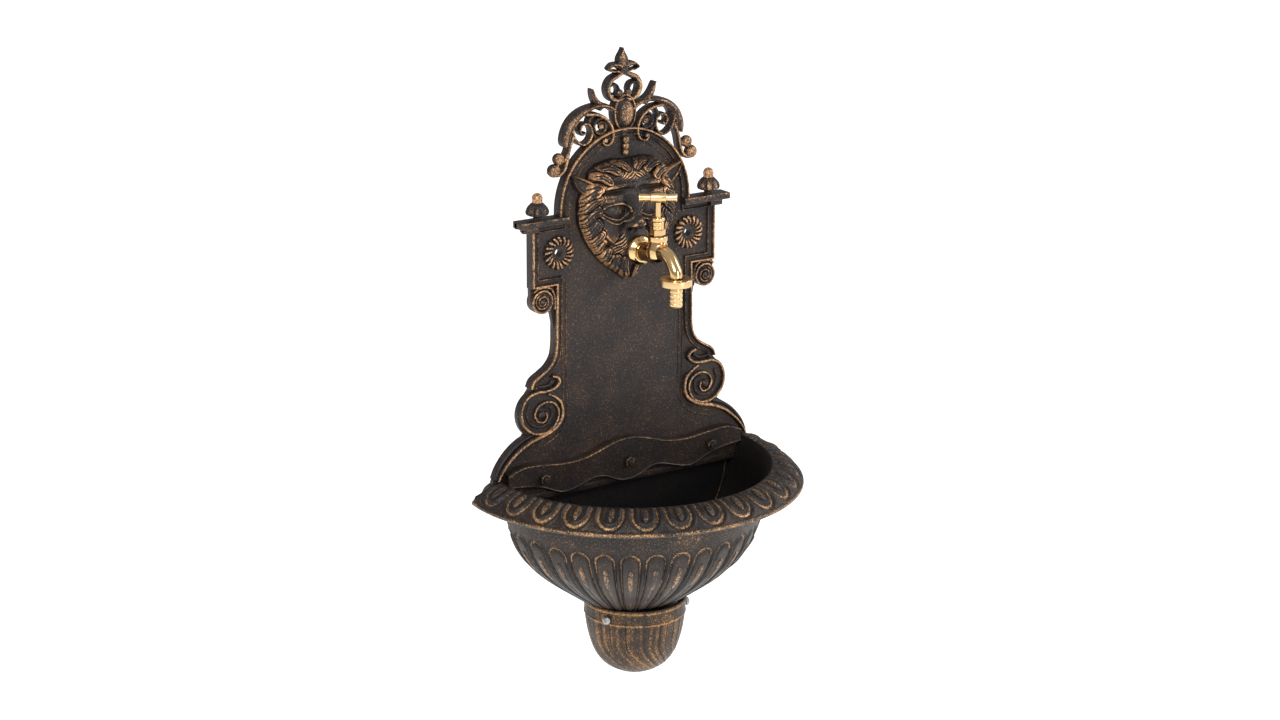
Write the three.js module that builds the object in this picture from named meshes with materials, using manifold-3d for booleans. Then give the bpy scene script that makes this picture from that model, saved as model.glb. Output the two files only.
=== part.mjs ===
// Wall fountain: an arched cast-iron plaque with a lion mask and a brass tap, over a
// half-round basin whose drain is hidden by a cup-shaped cover.
// Millimetres, +Z up, the wall is the plane Y = 0 and the fountain stands out towards -Y.
import * as THREE from 'three';
import { mergeVertices } from 'three/addons/utils/BufferGeometryUtils.js';
import Module from 'manifold-3d';

const wasm = await Module();
wasm.setup();

// driving dimensions
const GAP = 0.3;                 // clearance between pieces that touch
const FIELD = -8;                // front of the plain field of the plaque
const BORDER = -13;              // front of its raised borders
const ARCH_R = 79, ARCH_Z = 150; // outer edge of the round-headed top
const EAR_X = 111, EAR_LOW = 77, EAR_TOP = 134;
const LEDGE_X = 126.5, LEDGE_Z = 147;
const ROSETTE_X = 78.5, ROSETTE_Z = 110, ROSETTE_R = 17;
const SCREW_HOLE_R = 4.2;
const CORNER_X = 157, CORNER_Z = -117.5;
const TONGUE_X = 128, TONGUE_Z = -132;
const MASK_Z = 136, TAP_Z = 108, BORE_R = 10.2;
const BASIN_Y = -21.5, RIM_R = 178.5, MOUTH_R = 146.5, RIM_Z = -134.6, MOUTH_Z = -119;
const BASIN_LOW = -276, WALL = 6;
const FLUTES = 32;
const FLANGE_BACK = FIELD - GAP, FLANGE_T = 6.7, BAND_T = 3.2;
const BOLT_X = 103, BOLT_Z = -120.5;
const CUP_Y = -31, CUP_R = 54, CUP_TOP = -262, CUP_LOW = -345, CUP_WALL = 5;
const VALVE_Y = -69;             // upright axis of the tap
const SPOUT_Y = -101;            // upright axis of the hose tail
const HANDLE_Z = 168.1, HANDLE_TURN = -34;

// geometry to solid and back
function toSolid(geometry) {
  let g = geometry;
  for (const n of ['normal', 'uv']) if (g.getAttribute(n)) g.deleteAttribute(n);
  g = mergeVertices(g, 1e-4);
  const idx = [];
  const src = g.index.array;
  for (let i = 0; i < src.length; i += 3) {
    const [a, b, c] = [src[i], src[i + 1], src[i + 2]];
    if (a !== b && b !== c && a !== c) idx.push(a, b, c);
  }
  return new wasm.Manifold(new wasm.Mesh({
    numProp: 3, vertProperties: new Float32Array(g.getAttribute('position').array), triVerts: new Uint32Array(idx),
  }));
}
function toMesh(name, s) {
  const m = s.getMesh();
  const g = new THREE.BufferGeometry();
  g.setAttribute('position', new THREE.BufferAttribute(new Float32Array(m.vertProperties), 3));
  g.setIndex(new THREE.BufferAttribute(new Uint32Array(m.triVerts), 1));
  const mesh = new THREE.Mesh(g, new THREE.MeshStandardMaterial());
  mesh.name = name;
  return mesh;
}
const joined = (list) => list.reduce((a, b) => a.add(b));
function indexed(pos, idx) {
  const g = new THREE.BufferGeometry();
  g.setAttribute('position', new THREE.Float32BufferAttribute(pos, 3));
  g.setIndex(idx);
  return g;
}
function mirrored(geometry) {
  const g = geometry.clone();
  g.scale(-1, 1, 1);
  const a = g.index.array;
  for (let i = 0; i < a.length; i += 3) [a[i + 1], a[i + 2]] = [a[i + 2], a[i + 1]];
  return g;
}
const bothSides = (geometry) => [toSolid(geometry.clone()), toSolid(mirrored(geometry.index ? geometry : mergeVertices(geometry)))];

// a flat shape in the wall's plane, given thickness from back to front
function prism(points, back, front, bevel = 0) {
  const g = new THREE.ExtrudeGeometry(new THREE.Shape(points.map(([x, z]) => new THREE.Vector2(x, z))), {
    depth: back - front - 2 * bevel, bevelEnabled: bevel > 0, bevelThickness: bevel, bevelSize: bevel,
    bevelOffset: -bevel, bevelSegments: 1, curveSegments: 8,
  });
  g.rotateX(Math.PI / 2);
  g.translate(0, back - bevel, 0);
  for (const n of ['normal', 'uv']) g.deleteAttribute(n);
  return mergeVertices(g, 1e-4);
}
function block(x0, x1, y0, y1, z0, z1) {
  const g = new THREE.BoxGeometry(x1 - x0, y1 - y0, z1 - z0);
  g.translate((x0 + x1) / 2, (y0 + y1) / 2, (z0 + z1) / 2);
  return toSolid(g);
}
// smooth curve through a few points
function through(points, count, closed = false) {
  const c = new THREE.CatmullRomCurve3(points.map(([x, z]) => new THREE.Vector3(x, z, 0)), closed, 'centripetal');
  return c.getSpacedPoints(count).map((p) => [p.x, p.y]);
}
// a moulding with a ridged front, laid along a flat path
function moulding(path, width, back, front, { closed = false, ridge = 0.45 } = {}) {
  const n = path.length, pos = [], idx = [], m = 5;
  const w = typeof width === 'function' ? width : () => width;
  for (let i = 0; i < n; i++) {
    const a = path[closed ? (i + n - 1) % n : Math.max(i - 1, 0)], b = path[closed ? (i + 1) % n : Math.min(i + 1, n - 1)];
    const dx = b[0] - a[0], dz = b[1] - a[1], l = Math.hypot(dx, dz);
    const nx = -dz / l, nz = dx / l, h = w(i / (n - 1)) / 2;
    const shoulder = front + (back - front) * ridge * 0.5;
    for (const [u, y] of [[-h, back], [h, back], [h, shoulder], [0, front], [-h, shoulder]]) {
      pos.push(path[i][0] + nx * u, y, path[i][1] + nz * u);
    }
  }
  const rings = closed ? n : n - 1;
  for (let i = 0; i < rings; i++) {
    for (let j = 0; j < m; j++) {
      const a = i * m + j, b = i * m + (j + 1) % m, c = ((i + 1) % n) * m + j, d = ((i + 1) % n) * m + (j + 1) % m;
      idx.push(a, b, c, b, d, c);
    }
  }
  if (!closed) {
    const e = (n - 1) * m;
    for (let j = 1; j < m - 1; j++) idx.push(0, j + 1, j, e, e + j, e + j + 1);
  }
  const g = indexed(pos, idx);
  return outward(g);
}
// turns the faces outward if the solid came out inside out
function outward(g) {
  const p = g.getAttribute('position').array, a = g.index.array;
  let v = 0;
  for (let i = 0; i < a.length; i += 3) {
    const [x, y, z] = [a[i] * 3, a[i + 1] * 3, a[i + 2] * 3];
    v += p[x] * (p[y + 1] * p[z + 2] - p[y + 2] * p[z + 1]) - p[x + 1] * (p[y] * p[z + 2] - p[y + 2] * p[z]) + p[x + 2] * (p[y] * p[z + 1] - p[y + 1] * p[z]);
  }
  if (v < 0) for (let i = 0; i < a.length; i += 3) [a[i + 1], a[i + 2]] = [a[i + 2], a[i + 1]];
  return g;
}
// a turned solid about an upright axis; the profile runs from axis to axis, or is a closed ring
function turned(profile, seg, cx, cy, swell = null) {
  const pos = [], idx = [], open = profile[0][0] === 0, rows = [];
  profile.forEach(([r, z], k) => {
    if (r === 0) { rows.push([pos.length / 3]); pos.push(cx, cy, z); return; }
    const row = [];
    for (let i = 0; i < seg; i++) {
      const t = (2 * Math.PI * i) / seg, q = swell ? swell(r, z, t, k) : r;
      row.push(pos.length / 3);
      pos.push(cx + q * Math.cos(t), cy + q * Math.sin(t), z);
    }
    rows.push(row);
  });
  const n = rows.length;
  for (let k = 0; k < (open ? n - 1 : n); k++) {
    const A = rows[k], B = rows[(k + 1) % n];
    for (let i = 0; i < seg; i++) {
      const j = (i + 1) % seg;
      if (A.length > 1) idx.push(A[i], A[j], B[B.length > 1 ? i : 0]);
      if (B.length > 1) idx.push(A[A.length > 1 ? j : 0], B[j], B[i]);
    }
  }
  return outward(indexed(pos, idx));
}
// the same, laid along Y (the wall's normal) at a height
function turnedForward(profile, seg, cx, cz) {
  const g = turned(profile, seg, 0, 0);
  g.rotateX(Math.PI / 2);        // upright axis becomes -Y
  g.translate(cx, 0, cz);
  return outward(g);
}
function pipe(points, r, seg, rings) {
  const curve = new THREE.CatmullRomCurve3(points.map((p) => new THREE.Vector3(...p)), false, 'centripetal');
  const disc = new THREE.Shape();
  for (let i = 0; i < seg; i++) {
    const t = (2 * Math.PI * i) / seg;
    if (i) disc.lineTo(r * Math.cos(t), r * Math.sin(t)); else disc.moveTo(r, 0);
  }
  disc.closePath();
  return new THREE.ExtrudeGeometry(disc, { steps: rings, extrudePath: curve, bevelEnabled: false });
}
function ball(x, y, z, r, squashY = 1) {
  const g = new THREE.IcosahedronGeometry(r, 1);
  g.scale(1, squashY, 1);
  g.translate(x, y, z);
  return toSolid(g);
}
function rod(x, z, r, back, front, seg = 24) {
  const g = new THREE.CylinderGeometry(r, r, back - front, seg);
  g.translate(x, (back + front) / 2, z);
  return toSolid(g);
}
function spiral(cx, cz, r0, r1, a0, turns, count) {
  const out = [];
  for (let i = 0; i <= count; i++) {
    const s = i / count, a = a0 + turns * 2 * Math.PI * s, r = r0 + (r1 - r0) * s;
    out.push([cx + r * Math.cos(a), cz + r * Math.sin(a)]);
  }
  return out;
}

// THE PLAQUE
const sweepUp = [[83.5, 30], [84, 16], [86, 4], [92, -5], [100, -12], [108.5, -17], [112.5, -22], [113, -28]];
const sweepDown = [[118, -74], [127, -80], [136.5, -86.5], [144.5, -94.5], [151.5, -104], [CORNER_X, CORNER_Z]];
function halfOutline() {
  const p = [[0, TONGUE_Z], [TONGUE_X, TONGUE_Z], [TONGUE_X, CORNER_Z], [CORNER_X, CORNER_Z]];
  p.push(...sweepDown.slice(0, -1).reverse());
  for (let i = 1; i <= 10; i++) {      // round the large scroll
    const a = THREE.MathUtils.degToRad(-52 + i * 10.6);
    p.push([101.5 + 26.5 * Math.cos(a), -54 + 26.5 * Math.sin(a)]);
  }
  p.push(...through(sweepUp, 10).reverse());
  p.push([86, 44]);
  for (let i = 0; i <= 7; i++) {       // round the small scroll
    const a = THREE.MathUtils.degToRad(-150 + i * 22);
    p.push([99 + 12.5 * Math.cos(a), 62.5 + 12.5 * Math.sin(a)]);
  }
  p.push([EAR_X, 69], [EAR_X, EAR_TOP], [118.5, EAR_TOP], [118.5, 139.5], [LEDGE_X, 139.5], [LEDGE_X, LEDGE_Z], [ARCH_R, LEDGE_Z]);
  for (let i = 0; i <= 15; i++) {
    const a = THREE.MathUtils.degToRad(i * 6);
    p.push([ARCH_R * Math.cos(a), ARCH_Z + ARCH_R * Math.sin(a)]);
  }
  return p;
}
const half = halfOutline();
const outline = [...half, ...half.slice(1, -1).reverse().map(([x, z]) => [-x, z])];

// lion mask: height of the face in front of the field, at x (sideways) and z (up)
const bump = (x, z, cx, cz, rx, rz, h) => {
  const d = ((x - cx) / rx) ** 2 + ((z - cz) / rz) ** 2;
  return h * Math.exp(-d);
};
function face(x, z) {
  const ax = Math.abs(x);
  const d = (x / 61) ** 2 + ((z - MASK_Z) / (z > MASK_Z ? 62 : 65)) ** 2;
  if (d >= 1) return 0;
  let h = 22 * Math.sqrt(1 - d);
  h += bump(ax, z, 0, 116, 26, 20, 6);                  // muzzle
  h += bump(ax, z, 0, 140, 8.5, 20, 10);                // bridge of the nose
  h += bump(ax, z, 0, 130, 11, 8, 7);                   // nose
  h += bump(ax, z, 0, 184, 20, 12, 5);                  // forehead
  h += bump(ax, z, 22, 168, 18, 4.5, 7);                // brow
  h += bump(ax, z, 30, 130, 14, 15, 6);                 // cheek
  h -= bump(ax, z, 22, 154, 17, 9, 6);                  // eye socket
  h += bump(ax, z, 21, 154, 7.5, 6, 5);                 // eyeball
  h += 2.2 * Math.cos(Math.atan2(z - MASK_Z, ax) * 19) * THREE.MathUtils.smoothstep(d, 0.5, 0.75); // mane
  return Math.max(h, 0);
}
function mask() {
  const rings = 10, seg = 38, pos = [0, FIELD - face(0, MASK_Z), MASK_Z], idx = [];
  for (let k = 1; k <= rings; k++) {
    for (let i = 0; i < seg; i++) {
      const t = (2 * Math.PI * i) / seg, s = Math.sin((k / rings) * Math.PI / 2);
      const low = Math.sin(t) < 0 ? 65 : 62, wave = k === rings ? 1 : 1;
      const x = 61 * s * Math.cos(t) * wave, z = MASK_Z + low * s * Math.sin(t) * wave;
      pos.push(x, k === rings ? FIELD + 1 : FIELD - face(x, z), z);
    }
  }
  const c = pos.length / 3;
  pos.push(0, FIELD + 1, MASK_Z);
  for (let i = 0; i < seg; i++) {
    const j = (i + 1) % seg;
    idx.push(0, 1 + i, 1 + j);
    for (let k = 1; k < rings; k++) {
      const a = 1 + (k - 1) * seg, b = a + seg;
      idx.push(a + i, b + i, b + j, a + i, b + j, a + j);
    }
    idx.push(c, 1 + (rings - 1) * seg + j, 1 + (rings - 1) * seg + i);
  }
  return outward(indexed(pos, idx));
}
function ear() {                       // a pointed ear, right-hand side
  return prism([[38, 176], [46, 168], [55, 172], [61, 180], [65, 189], [56, 190], [46, 187]], FIELD + 1, -21, 2);
}

// cresting over the arch, right-hand half
function cresting() {
  const y0 = -0.5, y1 = -9, out = [];
  const leafW = (s) => 5 + 5.5 * Math.sin(Math.PI * Math.min(1, 0.15 + 0.85 * s));
  out.push(moulding(through([[9, 245], [19, 251.5], [31, 253.5], [43, 251.5], [54, 246], [62.5, 238], [67.5, 228.5], [69.5, 217]], 8), leafW, y0, -12));
  out.push(moulding(through([[27, 253], [33, 259.5], [37, 270.5]], 3), (s) => 8 - 6 * s, y0, y1));
  out.push(moulding(through([[44, 246], [34, 245], [24, 240.5], [17, 232.5], [14.8, 223], [18.5, 215.5], [25, 216]], 8), 4.6, y0, -14));
  out.push(moulding(spiral(27.5, 231.5, 8.8, 4.2, 1.7, -1.1, 8), 3.8, y0, y1));
  out.push(moulding(through([[59, 242], [60.5, 232], [57, 221.5], [49, 216], [41, 220], [38.5, 229], [43, 236], [49.5, 235.5], [52, 229.5], [48.5, 226]], 11), 4.2, y0, y1));
  out.push(moulding(through([[38, 226], [34, 222], [33, 216]], 3), 4.2, y0, y1));
  out.push(moulding(through([[35, 246], [40, 240], [42.5, 234]], 3), 4.4, y0, y1));
  out.push(moulding(through([[59.5, 226], [65, 213], [67.5, 202], [72, 191.5], [79, 187.5], [86, 191]], 6), 5, y0, -10.5));
  out.push(moulding(through([[66, 211], [71, 203], [77, 202.5]], 3), 4.5, y0, -10.5));
  out.push(moulding(through([[2, 257], [10.5, 257], [16.5, 261.5], [18.4, 270], [14, 277.5], [6, 281.5], [0, 283]], 8), 5, y0, -11));
  out.push(moulding(through([[17, 270], [12, 272], [7.5, 269], [5.5, 264], [0, 261]], 5), 3.6, y0, y1));
  return out;
}
function fleur() {
  const h = [[0, 308], [3.6, 303], [6, 297], [6, 293], [10.5, 291.5], [17.8, 288.5], [14.5, 285], [9, 284.5], [7.5, 281], [0, 279]];
  return toSolid(prism([...h, ...h.slice(1, -1).reverse().map(([x, z]) => [-x, z])], -0.5, -9, 1.5));
}
const oval = (a, b, n) => Array.from({ length: n }, (_, i) => [a * Math.cos((2 * Math.PI * i) / n), 243.5 + b * Math.sin((2 * Math.PI * i) / n)]);

function plaque() {
  const parts = [toSolid(prism(outline, 0, FIELD))];
  const two = (g) => parts.push(...bothSides(g));
  // round-headed border
  const arch = [[-74.5, 141]];
  for (let i = 0; i <= 16; i++) {
    const a = Math.PI - (Math.PI * i) / 16;
    arch.push([74.5 * Math.cos(a), ARCH_Z + 74.5 * Math.sin(a)]);
  }
  arch.push([74.5, 141]);
  parts.push(toSolid(moulding(arch, 8.8, -2, -13)));
  // ledges, ears and their frames
  two(prism([[70.5, 140], [LEDGE_X, 140], [LEDGE_X, LEDGE_Z], [70.5, LEDGE_Z]], -0.5, -17, 1));
  two(prism([[71, 134.5], [118.5, 134.5], [118.5, 140.5], [71, 140.5]], -0.5, -14.5, 1));
  two(prism([[104, EAR_LOW + 0.5], [EAR_X - 0.2, EAR_LOW + 0.5], [EAR_X - 0.2, 135], [104, 135]], -0.5, BORDER, 1));
  two(prism([[70, EAR_LOW], [111, EAR_LOW], [111, 84.5], [70, 84.5]], -0.5, BORDER, 1));
  // upright border that swings out over the large scroll
  two(moulding([[77, 80], [79, 44], ...through([[79, 30], [79.5, 15], [82, 1.5], [89.5, -9], [99, -16], [107, -21], [109, -28]], 8)], 8.2, -2, BORDER));
  // lower sweep running into the large scroll
  const scroll = through([[154, -113], [147, -102.5], [135, -92], [120, -85.5], [103, -81.5], [86, -76]], 7);
  two(moulding([...scroll, ...spiral(101.5, -54, 27, 5, -2.45, -2.45, 20).slice(1)], (s) => 5.2 - 1.2 * s, -2, -13.5));
  two(turnedForward([[0, 2], [6, 2], [5, 13], [0, 14.5]], 8, 101.5, -54));
  // small scroll under the ear
  two(turnedForward([[0, 0.5], [12.2, 0.5], [12.2, 12], [0, 12]], 16, 99, 62.5));
  two(moulding(spiral(99, 62.5, 10.6, 3.2, 1.2, -1.6, 11), 3, -8, -14));
  // buds standing on the ledges
  two(turned([[0, 144], [6.5, 144], [5, 150], [11.5, 152.6], [12.4, 156], [6.4, 164.8], [5.6, 170], [0, 174]], 10, 103.5, -9.5));
  // rosettes round the fixing holes
  two(turnedForward([[7.5, 4], [ROSETTE_R, 4], [ROSETTE_R - 0.5, 10.5], [12.5, 13.2], [8, 10.5]], 16, ROSETTE_X, ROSETTE_Z));
  // cresting
  for (const g of cresting()) two(g);
  parts.push(fleur(), ...bothSides(turnedForward([[0, 1], [4.2, 1], [4, 9], [0, 11]], 8, 5.5, 263.5)));
  parts.push(...[[26.8, 231.8, 3.6], [77, 204.5, 6.2], [82.5, 193.5, 7]].flatMap(([x, z, r]) => [ball(x, -6.5, z, r), ball(-x, -6.5, z, r)]));
  parts.push(toSolid(prism(oval(13.5, 19, 16), -1, -12, 2)), toSolid((() => {
    const g = new THREE.SphereGeometry(1, 12, 7);
    g.scale(8.5, 8, 13.5);
    g.translate(0, -10, 243.5);
    for (const n of ['normal', 'uv']) g.deleteAttribute(n);
    return g;
  })()));
  parts.push(toSolid(prism([[-4.5, 228], [4.5, 228], [3, 204], [-3, 204]], -3, -12, 1)));
  for (const z of [216, 209.5, 203]) parts.push(ball(0, -11, z, 4.3));
  // mask and ears
  parts.push(toSolid(mask()));
  two(ear());
  let s = joined(parts);
  for (const x of [-ROSETTE_X, ROSETTE_X]) {
    s = s.subtract(rod(x, ROSETTE_Z, SCREW_HOLE_R, 5, -30, 20));
    s = s.subtract(toSolid(turnedForward([[0, 7], [SCREW_HOLE_R, 7], [7.6, 9.5], [7.6, 20], [0, 20]], 20, x, ROSETTE_Z)));
  }
  s = s.subtract(rod(0, TAP_Z, BORE_R, 5, -60, 24));
  s = s.subtract(rod(0, TAP_Z, 16.2, -30, -70, 24));
  for (const x of [-BOLT_X, 0, BOLT_X]) s = s.subtract(rod(x, BOLT_Z, 4.6, 5, -30, 16));
  s = s.subtract(block(-200, 200, 0, 30, -400, 400));
  return s;
}

// THE BASIN
const outerProfile = [[0, BASIN_LOW], [26, BASIN_LOW], [48, -267.2], [62, -257.5], [76, -247.5], [97, -231.5], [118, -210],
  [128, -195], [134, -180], [138, -166], [140.5, -151], [150, -142.5], [170, -141.5],
  [176.5, -140.5], [RIM_R, -138], [RIM_R, -135.6], [169, -127], [158, -121], [MOUTH_R, MOUTH_Z], [0, MOUTH_Z]];
const innerProfile = [[0, -270], [26, -269.5], [45, -261.2], [72, -242], [92, -226.5], [112, -205.5],
  [121.5, -192], [127.5, -178], [131.5, -164.5], [135, -140], [142.5, -122], [MOUTH_R - 1.2, -118], [146, -100], [0, -100]];
const inOrder = (a, z) => a.some((q) => q[1] === z);
function flutedR(r, z, t) {
  if (z > -172 || z < BASIN_LOW + 1 || !inOrder(outerProfile, z)) return r;
  const fade = THREE.MathUtils.smoothstep(-z, 172, 192);
  return r - 1.6 * fade * (0.5 - 0.5 * Math.cos(FLUTES * (t + Math.PI / 2)));
}
// wavy edges of the back flange, right-hand halves
const waveTop = [[0, -94.5], [10, -95], [22, -98.5], [36, -102.5], [52, -107], [68, -108], [84, -106.5], [100, -103.5], [114, -103.5], [128, -107], [137, -112]];
const waveLow = [[0, -137], [12, -134.5], [24, -130], [36, -129], [48, -131], [60, -135.5], [72, -137.5], [84, -134.5], [96, -128], [110, -124.5], [125, -124.5], [137, -125]];
const wide = (h) => [...h.slice(1).reverse().map(([x, z]) => [-x, z]), ...h];
function basin() {
  const seg = FLUTES * 2;
  const outer = toSolid(turned(outerProfile, seg, 0, BASIN_Y, flutedR));
  const inner = toSolid(turned(innerProfile, 40, 0, BASIN_Y));
  const ringR = CUP_R - CUP_WALL - 2 * GAP - 0.1;    // the ring that the cover is pushed over
  const ring = toSolid(turned([[ringR - 5.8, -255], [ringR, -255], [ringR, -282], [ringR - 5.8, -282]], 32, 0, CUP_Y));
  const spout = toSolid(turned([[0, -265], [16, -265], [16, -292], [0, -292]], 24, 0, -40));
  const front = block(-400, 400, -400, 0, -400, 0);
  let shell = outer.add(ring.intersect(block(-100, 100, -100, -7, -300, -250))).add(spout).subtract(inner).intersect(front);
  const filled = toSolid(turned(outerProfile, 40, 0, BASIN_Y, (r) => r - 2.6)).intersect(front);
  const back = filled.intersect(block(-170, 170, -7, 0, -300, -136));
  const shelf = filled.intersect(block(-170, 170, FLANGE_BACK - FLANGE_T, 0, -143, -136));
  const sheet = toSolid(prism([...wide(waveTop), [138.5, -121], [138.5, -140], [-138.5, -140], [-138.5, -121]].reverse(), FLANGE_BACK, FLANGE_BACK - FLANGE_T));
  const band = toSolid(prism([...wide(waveTop), ...wide(waveLow).reverse()].reverse(), FLANGE_BACK - FLANGE_T + 1, FLANGE_BACK - FLANGE_T - BAND_T, 1));
  let s = shell.add(back).add(shelf).add(sheet).add(band);
  for (const x of [-BOLT_X, 0, BOLT_X]) s = s.subtract(rod(x, BOLT_Z, 4.6, 5, -40, 16));
  s = s.subtract(toSolid(turned([[0, -250], [9, -250], [9, -300], [0, -300]], 20, 0, -40)));
  for (const a of [-66, 66]) s = s.subtract(coverScrewHole(a, 2.8, CUP_R + 6));
  return s;
}
const screwZ = -273.5;
function radialFromCup(a, geometry) {  // geometry made along -Y from the cup's axis, swung to angle a
  geometry.rotateZ(THREE.MathUtils.degToRad(a));
  geometry.translate(0, CUP_Y, 0);
  return geometry;
}
function coverScrewHole(a, r, reach) {
  const from = CUP_R - 24;
  const g = new THREE.CylinderGeometry(r, r, reach - from, 12);
  g.translate(0, -(from + reach) / 2, screwZ);
  return toSolid(radialFromCup(a, g));
}

// THE DRAIN COVER
function drainCover() {
  const out = [[0, CUP_LOW], [8, CUP_LOW], [CUP_R - 33, -341], [CUP_R - 20, -332.5], [CUP_R - 10.5, -319], [CUP_R - 5, -301], [CUP_R - 2.2, -284], [CUP_R - 1, -276],
    [CUP_R, -275], [CUP_R, CUP_TOP], [0, CUP_TOP]];
  const inn = [[0, CUP_LOW + 6], [8, CUP_LOW + 6], [CUP_R - 36, -335.5], [CUP_R - 24, -327.5], [CUP_R - 15.5, -315.5], [CUP_R - 10, -299], [CUP_R - CUP_WALL, -284], [CUP_R - CUP_WALL, -255], [0, -255]];
  const o = toSolid(turned(out, 32, 0, CUP_Y)).intersect(block(-100, 100, -200, 0, -400, -200));
  const i = toSolid(turned(inn, 32, 0, CUP_Y));
  let s = o.subtract(i);
  // leave room for the bowl that dips into the cup
  s = s.subtract(toSolid(turned([[0, BASIN_LOW - 1.5], [27.5, BASIN_LOW - 1.5], [49.5, -269], [64, -259], [74, -252], [0, -240]], 64, 0, BASIN_Y)));
  for (const a of [-66, 66]) s = s.subtract(coverScrewHole(a, 3.2, CUP_R + 16));
  return s;
}
function coverScrew(a) {
  const head = new THREE.CylinderGeometry(2.4, 2.4, 14, 12);
  head.translate(0, -(CUP_R - 6.5), screwZ);
  const dome = turned([[0, CUP_R + GAP], [4.6, CUP_R + GAP], [4.2, CUP_R + 2], [2.6, CUP_R + 3.2], [0, CUP_R + 3.5]], 16, 0, 0);
  dome.rotateX(Math.PI / 2);
  dome.translate(0, 0, screwZ);
  return toSolid(radialFromCup(a, head)).add(toSolid(radialFromCup(a, outward(dome))));
}
function flangeBolt(x) {
  const face0 = FLANGE_BACK - FLANGE_T - BAND_T - GAP;
  const hex = new THREE.CylinderGeometry(6.2, 6.2, 5.5, 6);
  hex.translate(x, face0 - 2.75, BOLT_Z);
  return toSolid(hex).add(rod(x, BOLT_Z, 4.2, -2, face0 - 8, 16));
}

// THE TAP
function tapBody() {
  const s = [toSolid(turnedForward([[0, 3], [9.6, 3], [9.6, 50], [8, 52], [8, 67], [0, 67]], 20, 0, TAP_Z))];
  s.push(toSolid(turned([[0, 102.4], [5, 103], [9, 106.5], [10.6, 112], [10, 118.5], [8.6, 123], [9.8, 125.5], [9.8, 129.5], [0, 129.5]], 18, 0, VALVE_Y)));
  s.push(toSolid(pipe([[0, VALVE_Y, 112], [0, VALVE_Y - 8, 113.5], [0, VALVE_Y - 17, 112], [0, -95, 106.5], [0, -99.5, 100], [0, SPOUT_Y, 92.8]], 6.7, 16, 8)));
  let b = joined(s);
  b = b.subtract(toSolid(turned([[0, 88], [4.4, 88], [4.4, 102], [0, 102]], 16, 0, SPOUT_Y)));
  return b.subtract(toSolid(turned([[0, 122], [3.4, 122], [3.4, 140], [0, 140]], 16, 0, VALVE_Y)));
}
const tapFlange = () => toSolid(turnedForward([[9.9, 34], [13.5, 34], [15.2, 36], [15.2, 40], [13.5, 43], [11.5, 45], [9.9, 45]], 24, 0, TAP_Z));
function bonnet() {
  const hex = new THREE.CylinderGeometry(7.8, 7.8, 6.6, 6);
  hex.rotateX(Math.PI / 2);
  hex.translate(0, VALVE_Y, 129.8 + 3.3);
  const s = toSolid(hex).add(toSolid(turned([[0, 136], [6.2, 136], [6.2, 143.8], [5.4, 144.4], [0, 144.4]], 18, 0, VALVE_Y)));
  return s.subtract(toSolid(turned([[0, 120], [3.3, 120], [3.3, 150], [0, 150]], 16, 0, VALVE_Y)));
}
const gland = () => toSolid(turned([[3.3, 144.7], [7, 144.7], [7, 147.8], [6, 148.6], [3.3, 148.6]], 16, 0, VALVE_Y));
const spindle = () => toSolid(turned([[0, 124], [2.9, 124], [2.9, HANDLE_Z - 4.9], [0, HANDLE_Z - 4.9]], 16, 0, VALVE_Y));
function handle() {
  const g = turned([[0, -19], [3.9, -19], [4.3, -18], [3.5, -8], [4.6, -7], [4.6, 7], [3.5, 8], [4.3, 18], [3.9, 19], [0, 19]], 16, 0, 0);
  g.rotateY(Math.PI / 2);
  g.rotateZ(THREE.MathUtils.degToRad(HANDLE_TURN));
  g.translate(0, VALVE_Y, HANDLE_Z);
  return toSolid(g);
}
const unionNut = () => toSolid(turned([[7.1, 85.3], [15.6, 85.3], [16.2, 86], [16.2, 91.9], [15.6, 92.5], [7.1, 92.5]], 28, 0, SPOUT_Y));
function hoseTail() {
  const p = [[4.4, 63.4], [5.8, 63.4]];
  for (let i = 0; i < 4; i++) p.push([6.9, 65.6 + i * 4.6], [6.1, 68 + i * 4.6]);
  p.push([6.1, 90.6], [4.4, 90.6]);
  return toSolid(turned(p, 18, 0, SPOUT_Y));
}

const group = new THREE.Group();
group.name = 'wall_fountain';
const nodes = {
  plaque: plaque(), basin: basin(), drain_cover: drainCover(),
  flange_bolt_left: flangeBolt(-BOLT_X), flange_bolt_middle: flangeBolt(0), flange_bolt_right: flangeBolt(BOLT_X),
  cover_screw_left: coverScrew(-66), cover_screw_right: coverScrew(66),
  tap_flange: tapFlange(), tap_body: tapBody(), tap_bonnet: bonnet(), tap_gland: gland(),
  tap_spindle: spindle(), tap_handle: handle(), hose_union_nut: unionNut(), hose_tail: hoseTail(),
};
for (const [name, s] of Object.entries(nodes)) group.add(toMesh(name, s));
export default group;
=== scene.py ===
# %% [markdown]
# # Wall fountain
# A cast-iron wall fountain: an arched plaque with a lion mask, a brass hose tap in the lion's
# mouth, and a half-round basin bolted on below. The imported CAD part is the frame. Each casting is
# rebuilt over it here with its full carving, in millimetres, so that numbers read like a drawing.

# %% Frame and modules
import math

import bpy
import numpy as np
from mathutils import Matrix, Vector


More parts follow.
